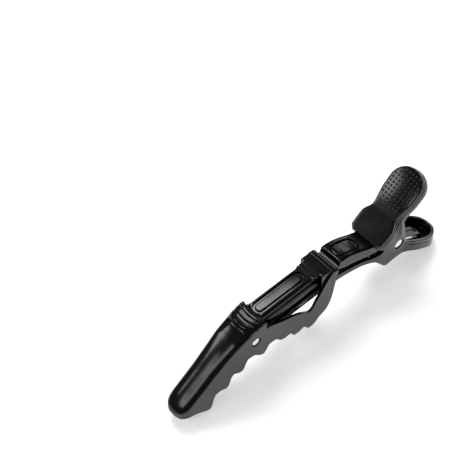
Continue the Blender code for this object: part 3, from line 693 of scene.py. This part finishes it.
def build_upper_jaw():
    """Beak, collar, ridge with its slot, block, hood and scalloped walls."""
    extra = [TIP_Y + d for d in (0.05, 0.15, 0.3)] + [y for y, _ in COLLAR_RINGS] + list(WINDOW_Y)
    extra += [HOOD_Y + d for d in (-0.03, 0.0, 0.04, 0.1, HOOD_ROUND, 0.95, 1.0)]
    extra += [g + d for g in BLOCK_GROOVES for d in (-0.25, -0.2, 0.0, 0.2, 0.25)]
    ys = stations(TIP_Y, JAW_END_Y, JAW_SPACING, extra)
    outer = [mirrored(jaw_half_section(y)) for y in ys]
    inner = [mirrored(jaw_half_section(max(y, TIP_Y + TIP_SOLID), True)) for y in ys]
    count = len(outer[0])
    front, rear = RIDGE_SLOT_Y
    a, b = RIDGE_SLOT_RADII
    moved = punch(outer, inner, stadium_hole(front, rear, a + 0.05, RIDGE_SLOT_ABOVE))
    moved |= punch(outer, inner, round_hole(FRONT_PIN, FRONT_PIN_RADIUS + PIN_RECESS_WIDTH))
    whole = keeps(moved)

    def keep(i, j):
        middle = (ys[i] + ys[i + 1]) / 2
        from_edge = min(j, count - 2 - j)
        inside = WINDOW_Y[0] < middle < WINDOW_Y[1]
        return whole(i, j) and not (inside and WALL_POINTS <= from_edge < WALL_POINTS + MIDDLE_POINTS)

    jaw = shell("jaw_shell", outer, inner, keep, moved, cap_end=False)
    finish_mesh(jaw)
    side = jaw_half_width(FRONT_PIN[0])
    seats = [seat_ring(FRONT_PIN, FRONT_PIN_RADIUS, x, JAW_SEAT_DEPTH) for x in (side, -side)]
    profile = [(a + 0.1, -1.3), (a + 0.1, -0.3), (a + 0.18, -0.02), (a + 0.14, 0.05), (a + 0.04, 0.06),
               (a - 0.04, 0.0), (a - 0.07, -0.12), (a - 0.09, -0.6), (a - 0.17, -0.72),
               (b + 0.14, -0.72), (b + 0.06, -0.64), (b + 0.03, -0.3), (b - 0.03, -0.19),
               (b - 0.14, -0.15), (b - 0.5, -0.13), (0.0, -0.12)]
    panel = inlay("slot_panel", RIDGE_SLOT_Y, profile, lambda y: smooth(JAW_CROWN, y))
    join(jaw, [panel] + seats)
    jaw.name = "upper_jaw_moulding"
    return jaw


# ---- lower jaw

def tooth(y):
    """Height of the saw-tooth edge at y."""
    if not TOOTH_SPAN[0] <= y <= TOOTH_SPAN[1]:
        return 0.0
    along = ((y - TOOTH_SPAN[0]) / TOOTH_PITCH) % 1.0
    return TOOTH_HEIGHT * (1.0 - abs(2.0 * along - 1.0))


def lower_half_section(y, half, inside=False):
    """Half of a channel section, from the rail down and in to the middle of the floor."""
    low = smooth(LOWER_BOTTOM, y)
    high = smooth(LOWER_TOP, y) + tooth(y)
    tall = high - low
    edge = min(0.9, 0.35 * half, 0.4 * tall)
    groove = RAIL_GROOVE * min(1.0, max(0.0, (y - TRAY_START_Y) / 2.0))
    bead = high - min(RAIL_HEIGHT, 0.25 * tall)
    if inside:
        half = max(half, 0.25)
        low += CHANNEL_FLOOR
        edge = min(0.5, 0.3 * half, 0.4 * (high - low))
        groove = 0.0
        bead = high - min(RAIL_HEIGHT, 0.2 * (high - low))
    step = min(1.0, 0.3 * (high - low) / 0.62)
    keys = [(half, high, 0.0, 3), (half, bead, 0.1 * step, 1),
            (half - groove, bead - 0.16 * step, 0.08 * step, 1),
            (half - groove, bead - 0.42 * step, 0.08 * step, 1),
            (half, bead - 0.62 * step, 0.1 * step, 5), (half, low, edge, 6), (0.0, low, 0.0, 1)]
    return [(x, y, z) for x, z in rounded_path(keys)]


def build_lower_jaw():
    """Toothed channel, rails, knee with ears, and hollow paddle with its pad."""
    edges = round(2 * (TOOTH_SPAN[1] - TOOTH_SPAN[0]) / TOOTH_PITCH) + 1
    teeth = [TOOTH_SPAN[0] + i * TOOTH_PITCH / 2 for i in range(edges)]
    extra = teeth + [LOWER_END_Y - d for d in (0.05, 0.15, 0.3)] + [LOWER_TIP_Y + 0.15]
    outer = []
    inner = []
    for y in stations(LOWER_TIP_Y, LOWER_END_Y, LOWER_SPACING, extra):
        half = smooth(LOWER_HALF_WIDTH, y)
        slope = (smooth(LOWER_HALF_WIDTH, y + 0.2) - smooth(LOWER_HALF_WIDTH, y - 0.2)) / 0.4
        if y > LOWER_END_Y - 0.2 or y < LOWER_TIP_Y + 0.2:
            slope = LOWER_END_SLOPE if y > 0.0 else LOWER_TIP_SLOPE
        across = 1.0 / sqrt(1.0 + slope * slope)
        outer.append(mirrored(lower_half_section(y, half))[::-1])
        behind = y + CHANNEL_WALL * slope * across
        inside = lower_half_section(behind, half - CHANNEL_WALL * across, True)
        inner.append(mirrored(inside)[::-1])
    jaw = shell("channel", outer, inner)
    finish_mesh(jaw)

    def floor(y):
        return smooth(LOWER_BOTTOM, y) + CHANNEL_FLOOR - 0.1

    profile = [(PAD_RADIUS + 0.25, -0.6), (PAD_RADIUS + 0.25, 0.02), (PAD_RADIUS + 0.05, 0.2),
               (PAD_RADIUS, PAD_HEIGHT - 0.25), (PAD_RADIUS - 0.2, PAD_HEIGHT),
               (1.05, PAD_HEIGHT + 0.05), (0.85, PAD_HEIGHT - 0.05), (0.6, PAD_HEIGHT - 0.45),
               (0.0, PAD_HEIGHT - 0.5)]
    join(jaw, [inlay("tray_pad", PAD_Y, profile, floor)])
    jaw.name = "lower_jaw_moulding"
    return jaw


# ---- upper lever

PADDLE_LENGTH = hypot(PADDLE_END[0] - PADDLE_START[0], PADDLE_END[1] - PADDLE_START[1])
PADDLE_Y = (PADDLE_END[0] - PADDLE_START[0]) / PADDLE_LENGTH
PADDLE_Z = (PADDLE_END[1] - PADDLE_START[1]) / PADDLE_LENGTH


def paddle_half_width(s):
    """Half width of the thumb paddle at the distance s along its face."""
    half = smooth(PADDLE_WIDTH, s)
    past = s - (PADDLE_LENGTH - PADDLE_END_RADIUS)
    if past > 0.0:
        half *= sqrt(max(0.0003, 1.0 - (past / PADDLE_END_RADIUS)**2))
    return half


def paddle_station(s):
    """(Y top, Z top, half width, Y rim, Z rim, half width at the rim) along the paddle."""
    y = PADDLE_START[0] + PADDLE_Y * s
    z = PADDLE_START[1] + PADDLE_Z * s
    half = paddle_half_width(s)
    depth = smooth(PADDLE_DEPTH, s)
    neck = 0.4 * max(0.0, 1.0 - s / 2.0)
    y_rim = y + PADDLE_Z * depth - neck
    return (y, z, half, y_rim, z - PADDLE_Y * depth - neck, half + 0.1 + neck * 0.8)


def paddle_bulge(x, s):
    """How far the domed thumb face lies under its flat plane."""
    across, along = PADDLE_BULGE
    return across * min(1.0, max(0.0, s / BULGE_FULL)) * x * x + along * max(0.0, s - BULGE_BEND)**2


def plate_rows():
    """Stations of the hinge plate with their distance before the neck."""
    rows = []
    for y, half, y_rim, z_rim, rim_half in LEVER_PLATE:
        z = PLATE_POINT[1] + (y - PLATE_POINT[0]) * PLATE_RISE
        rows.append((y, z, half, y_rim, z_rim, rim_half))
    rows.append(LEVER_NECK)
    distances = [0.0]
    for a, b in zip(reversed(rows), reversed(rows[:-1])):
        distances.append(distances[-1] - hypot(a[0] - b[0], a[1] - b[1]))
    return list(zip(reversed(distances), rows))


def lever_section(station, slope, groove, inside=False, s=0.0):
    """Full section of the lever shell; groove is the depth of the two lines around its side."""
    y_top, z_top, half, y_rim, z_rim, w_rim = station
    tall = hypot(y_rim - y_top, z_rim - z_top)
    up_y = (y_top - y_rim) / tall
    up_z = (z_top - z_rim) / tall
    wide = SECTION_HALF
    flare = w_rim - half
    roof = tall
    soft = min(0.4, 0.3 * tall)
    if inside:
        wide -= LEVER_WALL
        roof = tall - min(LEVER_ROOF, 0.5 * tall)
        soft = 0.3
    bend = min(0.45 * roof, max(roof - 3.8, 0.2 * roof))
    high = max(roof - 3.4, bend + 0.1 * roof)
    lean = flare * (roof - high) / (roof - bend)
    keys = [(wide + flare, 0.0, 0.0, 18), (wide + flare, bend, 0.2, 6),
            (wide + lean, high, 0.02, 24), (wide, roof, soft, 8), (0.0, roof, 0.0, 1)]
    across = 1.0 / sqrt(1.0 + slope * slope)
    along = slope * across
    section = []
    edge = wide - soft
    for x, h in rounded_path(keys):
        dip = 0.0
        if not inside:
            for below in LEVER_LINES:
                dip += groove * max(0.0, 1.0 - (abs(tall - h - below) / LINE_HALF_WIDTH)**4)
        move = max(x, edge) - SECTION_HALF - dip
        run = min(1.0, x / edge)
        x = (half + move * across) * run
        if not inside:
            h -= paddle_bulge(x, s) * (h / tall)**2
        section.append((x, y_rim + up_y * h + PADDLE_Y * move * along,
                        z_rim + up_z * h + PADDLE_Z * move * along))
    return mirrored(section)


def build_lever_shell():
    """Hinge plate with its ears, and the thumb paddle."""
    rows = plate_rows()
    start = rows[0][0]
    columns = [[(s, row[k]) for s, row in rows] for k in range(6)]

    def plate_station(s):
        reach = min(0.15, s - start, -s)
        return [softened(column, s, reach) for column in columns]

    outer = []
    inner = []
    for s in stations(start, 0.0, LEVER_SPACING, [s for s, _ in rows])[:-1]:
        station = plate_station(s)
        depth = hypot(station[0] - station[3], station[1] - station[4])
        outer.append(lever_section(station, 0.0, LINE_DEPTH * min(1.0, max(0.0, depth - 3.5))))
        inner.append(lever_section(plate_station(max(s, start + LEVER_SOLID)), 0.0, 0.0, True))
    straight = PADDLE_LENGTH - PADDLE_END_RADIUS
    distances = stations(0.0, straight, LEVER_SPACING)
    turns = [4, 9, 14, 20, 26, 32, 38, 44, 50, 56, 62, 67, 72, 76, 80, 83, 86, 89]
    distances += [straight + PADDLE_END_RADIUS * sin(radians(a)) for a in turns]
    for s in distances:
        behind = paddle_half_width(s - 0.03)
        slope = max(-0.5, (behind - paddle_half_width(s)) / 0.03)
        outer.append(lever_section(paddle_station(s), slope, LINE_DEPTH, False, s))
        inner.append(lever_section(paddle_station(s), slope, 0.0, True))
    moved = punch(outer, inner, round_hole(REAR_PIN, REAR_PIN_RADIUS + PIN_RECESS_WIDTH))
    body = shell("lever_shell", outer, inner, keeps(moved), moved)
    finish_mesh(body)
    side = PLATE_HALF_WIDTH
    seats = [seat_ring(REAR_PIN, REAR_PIN_RADIUS, x, LEVER_SEAT_DEPTH) for x in (side, -side)]
    return join(body, seats)


def bridge_columns():
    """The bridge table as one (Y, value) table per column, against the top Y."""
    return [[(row[0], row[k]) for row in BRIDGE] for k in range(5)]


def bridge_top(y):
    """Z of the bridge's top at y."""
    return softened(bridge_columns()[1], y, 0.12)


def build_bridge():
    """Arm from the front eye to the hinge plate, with the arched hump and its inset panel."""
    columns = bridge_columns()
    extra = [row[0] for row in BRIDGE]
    extra += [BRIDGE_FACE_Y + d for d in (-0.12, -0.06, 0.06, 0.16, 0.34, 0.42, 0.56, 0.66)]
    rings = []
    for y in stations(BRIDGE[0][0], BRIDGE[-1][0], BRIDGE_SPACING, extra):
        z_top = softened(columns[1], y, 0.12)
        y_low = softened(columns[2], y, 0.3)
        z_low = softened(columns[3], y, 0.3)
        half = softened(columns[4], y, 0.2)
        step = 0.5 * min(1.0, max(0.0, (y - BRIDGE_HUMP_Y) / 0.3))
        lip = 0.36 * step
        keys = [(0.0, y_low, z_low), (half - 0.45, y_low, z_low), (half, y_low, z_low + 0.45)]
        upper = [(half, z_top - 0.1 - step * 0.3), (half - 0.12, z_top - step * 0.3),
                 (half - 0.34 - lip * 0.2, z_top - step * 0.3),
                 (half - 0.42 - lip * 0.3, z_top - step * 0.95),
                 (half - 0.6 - lip * 0.4, z_top - step * 0.95),
                 (half - 0.72 - lip * 0.4, z_top - step * 0.1), (half - 0.9 - lip * 0.4, z_top)]
        side = [keys[1], (half - 0.12, y_low, z_low + 0.1), keys[2]]
        for share in (0.25, 0.5, 0.75):
            z = z_low + 0.45 + (upper[0][1] - z_low - 0.45) * share
            side.append((half, y_low + (y - y_low) * share, z))
        side += [(x, y, z) for x, z in upper]
        side += [(2.0, y, z_top), (1.0, y, z_top), (0.0, y, z_top)]
        lean = linear(ARM_ROOF_SHARE, y)
        for k, (x, yy, zz) in enumerate(side):
            climb = max(0.0, (zz - z_top + ARM_LEAN_HEIGHT) / ARM_LEAN_HEIGHT)
            narrow = 1.0 - lean * climb * (1.0 - ARM_ROOF_WIDTH / half)
            side[k] = (x * narrow, yy, zz)
        rings.append([(0.0, y_low, z_low)] + side + [(-x, yy, zz) for x, yy, zz in reversed(side[:-1])])
    arm = tube("bridge", rings)
    front, rear = BRIDGE_INSET_Y
    outer, inner = BRIDGE_INSET_RADII
    cut(arm, inset_block(front, rear, outer + 0.05))
    eye_steps = [(-3.4, EYE_RADIUS - 0.3), (-3.32, EYE_RADIUS - 0.1), (-3.1, EYE_RADIUS),
                 (3.1, EYE_RADIUS), (3.32, EYE_RADIUS - 0.1), (3.4, EYE_RADIUS - 0.3)]
    cut(arm, rod("eye", FRONT_PIN, eye_steps), "UNION")
    cut(arm, rod("hole", FRONT_PIN, [(x, FRONT_PIN_RADIUS + 0.05) for x in (-9.0, 9.0)]))
    finish_mesh(arm)
    profile = [(outer + 0.1, -1.2), (outer + 0.1, -0.3), (outer + 0.16, -0.02), (outer + 0.12, 0.03),
               (outer + 0.02, 0.03), (outer - 0.06, -0.05), (outer - 0.1, -0.5), (outer - 0.18, -0.62),
               (inner + 0.16, -0.62), (inner + 0.08, -0.55), (inner + 0.03, -0.38),
               (inner - 0.04, -0.3), (inner - 0.16, -0.26), (inner - 0.6, -0.24), (0.0, -0.23)]
    return join(arm, [inlay("bridge_panel", BRIDGE_INSET_Y, profile, bridge_top)])


def inset_block(front, rear, radius):
    """Cutter for the bridge's inset, with its floor a set depth under the top."""
    outline = stadium(front, rear, radius)
    floor = [(x, y, bridge_top(y) - INSET_CUT_DEPTH) for x, y in outline]
    return tube("inset_cut", [floor, [(x, y, INSET_CUT_TOP) for x, y in outline]])


def build_studs():
    """Rows of small domes on the paddle face."""
    work = bmesh.new()
    steps = 5
    sides = 12
    for row in range(GRIP_ROWS):
        for column in range(GRIP_COLUMNS):
            x = (column - (GRIP_COLUMNS - 1) / 2) * GRIP_PITCH
            s = GRIP_START + row * GRIP_PITCH
            if abs(x) > paddle_half_width(s - 0.1) - GRIP_MARGIN:
                continue
            rings = []
            for k in range(steps):
                tilt = pi / 2 * k / steps
                radius = STUD_RADIUS * cos(tilt)**0.8
                height = STUD_HEIGHT * sin(tilt) - (0.1 if k == 0 else 0.0)
                ring = []
                for j in range(sides):
                    turn = 2 * pi * j / sides
                    along = s + radius * sin(turn)
                    raised = height - paddle_bulge(x, s)
                    y = PADDLE_START[0] + PADDLE_Y * along - PADDLE_Z * raised
                    z = PADDLE_START[1] + PADDLE_Z * along + PADDLE_Y * raised
                    ring.append(work.verts.new(place(x + radius * cos(turn), y, z)))
                rings.append(ring)
            for a, b in zip(rings, rings[1:]):
                for j in range(sides):
                    k = (j + 1) % sides
                    work.faces.new((a[j], a[k], b[k], b[j]))
            work.faces.new(rings[-1])
            work.faces.new(rings[0][::-1])
    bmesh.ops.recalc_face_normals(work, faces=work.faces)
    mesh = bpy.data.meshes.new("studs")
    work.to_mesh(mesh)
    work.free()
    mesh.shade_smooth()
    return add_object("studs", mesh)


def build_upper_lever():
    """Bridge arm, hinge plate, thumb paddle and its studs."""
    lever = join(build_lever_shell(), [build_bridge(), build_studs()])
    lever.name = "upper_lever_moulding"
    return lever


# ---- metal pieces

def build_pin(name, centre, radius, half):
    """Pin with softly domed, turned ends."""
    end = [(half, 0.02), (half - 0.01, radius * 0.35), (half - 0.04, radius * 0.7),
           (half - 0.1, radius * 0.88), (half - 0.2, radius * 0.97), (half - 0.34, radius)]
    steps = [(-x, r) for x, r in end] + [(x, r) for x, r in reversed(end)]
    pin = rod(name, centre, steps, 64)
    pin.data.shade_smooth()
    return pin


def build_spring():
    """Coil round the rear pin with a leg to each paddle."""
    y0, z0 = REAR_PIN
    width = COIL_TURNS * COIL_PITCH / 2
    total = 2 * pi * COIL_TURNS + COIL_LAST_TURN
    count = 48 * COIL_TURNS
    path = [(-width, y, z) for y, z in UPPER_LEG]
    for i in range(count + 1):
        angle = COIL_START + total * i / count
        x = -width + 2 * width * i / count
        path.append((x, y0 + COIL_RADIUS * cos(angle), z0 + COIL_RADIUS * sin(angle)))
    path += [(width, y, z) for y, z in LOWER_LEG]
    sides = 14
    turns = [2 * pi * j / sides for j in range(sides)]
    rings = []
    for i, point in enumerate(path):
        here = Vector(point)
        ahead = Vector(path[min(i + 1, len(path) - 1)]) - Vector(path[max(i - 1, 0)])
        out = ahead.cross(Vector((1.0, 0.0, 0.0))).normalized()
        side = out.cross(ahead).normalized()
        rings.append([tuple(here + WIRE_RADIUS * (cos(a) * side + sin(a) * out)) for a in turns])
    spring = tube("spring_wire", rings)
    spring.data.shade_smooth()
    return spring


# ---- materials

BLACK = (0.0035, 0.003, 0.0037)
CHARCOAL = (0.0075, 0.0065, 0.008)


def set_inputs(target, inputs):
    """Set inputs of a node by name, with _ for a space."""
    for name, value in inputs.items():
        target.inputs[name.replace("_", " ")].default_value = value


def new_material(name, **inputs):
    """New node material, its tree and its shader, with some of the shader's inputs set."""
    material = bpy.data.materials.new(name)
    material.use_nodes = True
    shader = material.node_tree.nodes["Principled BSDF"]
    set_inputs(shader, inputs)
    return material, material.node_tree, shader


def node(tree, kind, **inputs):
    """New shader node with some of its inputs set."""
    made = tree.nodes.new(kind)
    set_inputs(made, inputs)
    return made


def ramp(tree, source, low, high):
    """Map a 0 to 1 value onto a range."""
    mapped = node(tree, "ShaderNodeMapRange", To_Min=low, To_Max=high)
    tree.links.new(source, mapped.inputs["Value"])
    return mapped.outputs["Result"]


def mixed_colour(tree, shader, source, first, second):
    """Base colour that goes from the first to the second as source goes from 0 to 1."""
    mix = tree.nodes.new("ShaderNodeMix")
    mix.data_type = "RGBA"
    mix.inputs["A"].default_value = (*first, 1.0)
    mix.inputs["B"].default_value = (*second, 1.0)
    tree.links.new(source, mix.inputs["Factor"])
    tree.links.new(mix.outputs["Result"], shader.inputs["Base Color"])


def moulded_plastic(name, rough):
    """Glossy moulded black plastic: slight orange peel, cloudy gloss and fine handling scratches."""
    material, tree, shader = new_material(name, IOR=1.46)
    link = tree.links.new
    coordinates = tree.nodes.new("ShaderNodeTexCoord").outputs["Object"]
    clouds = node(tree, "ShaderNodeTexNoise", Scale=160.0, Detail=3.0)
    peel = node(tree, "ShaderNodeTexNoise", Scale=900.0, Detail=2.0)
    stretch = node(tree, "ShaderNodeMapping", Scale=(2600.0, 90.0, 500.0))
    scratch = node(tree, "ShaderNodeTexNoise", Scale=1.0, Detail=4.0)
    for target in (clouds, peel, stretch):
        link(coordinates, target.inputs["Vector"])
    link(stretch.outputs["Vector"], scratch.inputs["Vector"])
    mixed_colour(tree, shader, clouds.outputs["Fac"], BLACK, CHARCOAL)
    total = tree.nodes.new("ShaderNodeMath")
    total.operation = "MULTIPLY_ADD"
    link(ramp(tree, clouds.outputs["Fac"], rough * 0.8, rough * 1.25), total.inputs[2])
    link(scratch.outputs["Fac"], total.inputs[0])
    total.inputs[1].default_value = rough * 0.15
    link(total.outputs["Value"], shader.inputs["Roughness"])
    first = node(tree, "ShaderNodeBump", Strength=0.05, Distance=0.00005)
    second = node(tree, "ShaderNodeBump", Strength=0.04, Distance=0.00003)
    link(peel.outputs["Fac"], first.inputs["Height"])
    link(scratch.outputs["Fac"], second.inputs["Height"])
    link(first.outputs["Normal"], second.inputs["Normal"])
    link(second.outputs["Normal"], shader.inputs["Normal"])
    return material


def polished_steel(name, centre, rough):
    """Bright steel with fine turned rings round its own axis and faint smudges."""
    material, tree, shader = new_material(name, Metallic=1.0)
    link = tree.links.new
    coordinates = tree.nodes.new("ShaderNodeTexCoord").outputs["Object"]
    shift = node(tree, "ShaderNodeMapping", Location=-place(0.0, *centre))
    rings = node(tree, "ShaderNodeTexWave", Scale=700.0, Distortion=1.5, Detail=2.0)
    rings.wave_type = "RINGS"
    rings.rings_direction = "X"
    smudge = node(tree, "ShaderNodeTexNoise", Scale=700.0, Detail=3.0)
    link(coordinates, shift.inputs["Vector"])
    link(shift.outputs["Vector"], rings.inputs["Vector"])
    link(coordinates, smudge.inputs["Vector"])
    mixed_colour(tree, shader, smudge.outputs["Fac"], (0.86, 0.86, 0.87), (0.68, 0.68, 0.70))
    link(ramp(tree, smudge.outputs["Fac"], rough * 0.7, rough * 1.4), shader.inputs["Roughness"])
    bump = node(tree, "ShaderNodeBump", Strength=0.12, Distance=0.00002)
    link(rings.outputs["Fac"], bump.inputs["Height"])
    link(bump.outputs["Normal"], shader.inputs["Normal"])
    return material


def floor_paper():
    """White sweep that glows a little, so that it stays pale all over."""
    return new_material("white_sweep", Base_Color=(0.93, 0.92, 0.93, 1.0), Roughness=0.75,
                        Emission_Color=(1.0, 0.98, 1.0, 1.0), Emission_Strength=0.55,
                        Specular_IOR_Level=0.2)[0]


# ---- assembly

def dress(piece, body, nodes, material):
    """Give a finished piece its material in its material slot and its body, if any, and hide the CAD
    nodes it stands in for.
    """
    piece.data.materials.clear()
    piece.data.materials.append(material)
    if body:
        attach(piece, body)
    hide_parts(*nodes)


def point_at(obj, location, aim):
    """Put a light or the camera at location, facing aim."""
    obj.location = location
    obj.rotation_euler = (Vector(aim) - Vector(location)).to_track_quat("-Z", "Y").to_euler()


def area_light(name, location, aim, size, power):
    """Soft rectangular white light."""
    light = bpy.data.lights.new(name, "AREA")
    light.shape = "RECTANGLE"
    light.size, light.size_y = size
    light.energy = power
    light.color = (1.0, 0.98, 1.0)
    lamp = add_object(name, light)
    point_at(lamp, location, aim)
    return lamp


dress(build_upper_jaw(), "jaw", ["upper_jaw"],
      moulded_plastic("jaw_plastic_gloss", 0.13))
dress(build_upper_lever(), "lever", ["upper_lever"],
      moulded_plastic("lever_plastic_gloss", 0.15))
dress(build_lower_jaw(), "lower", ["lower_jaw"],
      moulded_plastic("lower_plastic_gloss", 0.14))
dress(build_pin("front_hinge_pin", FRONT_PIN, FRONT_PIN_RADIUS, FRONT_PIN_HALF), "jaw", ["front_pin"],
      polished_steel("front_pin_polished", FRONT_PIN, 0.12))
dress(build_pin("rear_hinge_pin", REAR_PIN, REAR_PIN_RADIUS, REAR_PIN_HALF), "lower", ["rear_pin"],
      polished_steel("rear_pin_polished", REAR_PIN, 0.12))
spring_wire = build_spring()
dress(spring_wire, None, ["torsion_spring"],
      polished_steel("spring_wire_steel", REAR_PIN, 0.25))
tuple(place(0.0, *REAR_PIN))
tuple(place(0.0, REAR_PIN[0], REAR_PIN[1] + 4.2))
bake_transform(spring_wire)

# floor, lights and camera, in metres
bpy.ops.mesh.primitive_plane_add(size=6.0, location=(0.0, 0.0, 0.0))
floor = bpy.context.object
floor.name = "floor"
floor.data.materials.append(floor_paper())

world = bpy.data.worlds.new("studio")
bpy.context.scene.world = world
world.use_nodes = True
background = world.node_tree.nodes["Background"]
background.inputs["Color"].default_value = (0.95, 0.88, 0.97, 1.0)
background.inputs["Strength"].default_value = 0.06

CLIP = (0.0, 0.0, 0.02)
fill = area_light("overhead_fill", (-0.5, 0.15, 0.8), CLIP, (0.6, 0.6), 2.2)
fill.visible_glossy = False

# name, place, size and power in watts of the lights facing down, then of those facing the clip
DOWN_LIGHTS = [
    ("ridge_softbox", (-0.37, 0.13), (0.36, 0.28), 2.7),
    ("collar_softbox", (-0.02, -0.01), (0.34, 0.2), 0.5),
    ("beak_softbox", (-0.05, -0.74), (0.24, 0.28), 0.62),
    ("tip_softbox", (-0.25, -1.02), (0.46, 0.3), 1.75)
]
CLIP_LIGHTS = [
    ("paddle_softbox", (-0.58, -0.57, 0.58), (0.24, 0.24), 1.05),
    ("white_sweep", (-0.55, 0.98, 0.14), (1.3, 0.26), 1.2),
    ("bridge_softbox", (-0.42, 0.82, 0.42), (0.36, 0.26), 0.45)
]
for name, spot, size, power in DOWN_LIGHTS:
    area_light(name, (*spot, 0.7), (*spot, 0.0), size, power)
for name, spot, size, power in CLIP_LIGHTS:
    area_light(name, spot, CLIP, size, power)

camera_data = bpy.data.cameras.new("camera")
camera = add_object("camera", camera_data)
point_at(camera, (0.18052, -0.1948, 0.37195), (-0.04707, 0.00692, 0.0))
camera_data.sensor_width = 36.0
camera_data.lens = 104.1
camera_data.clip_start = 0.01
bpy.context.scene.camera = camera
bpy.context.scene.view_settings.view_transform = "Standard"
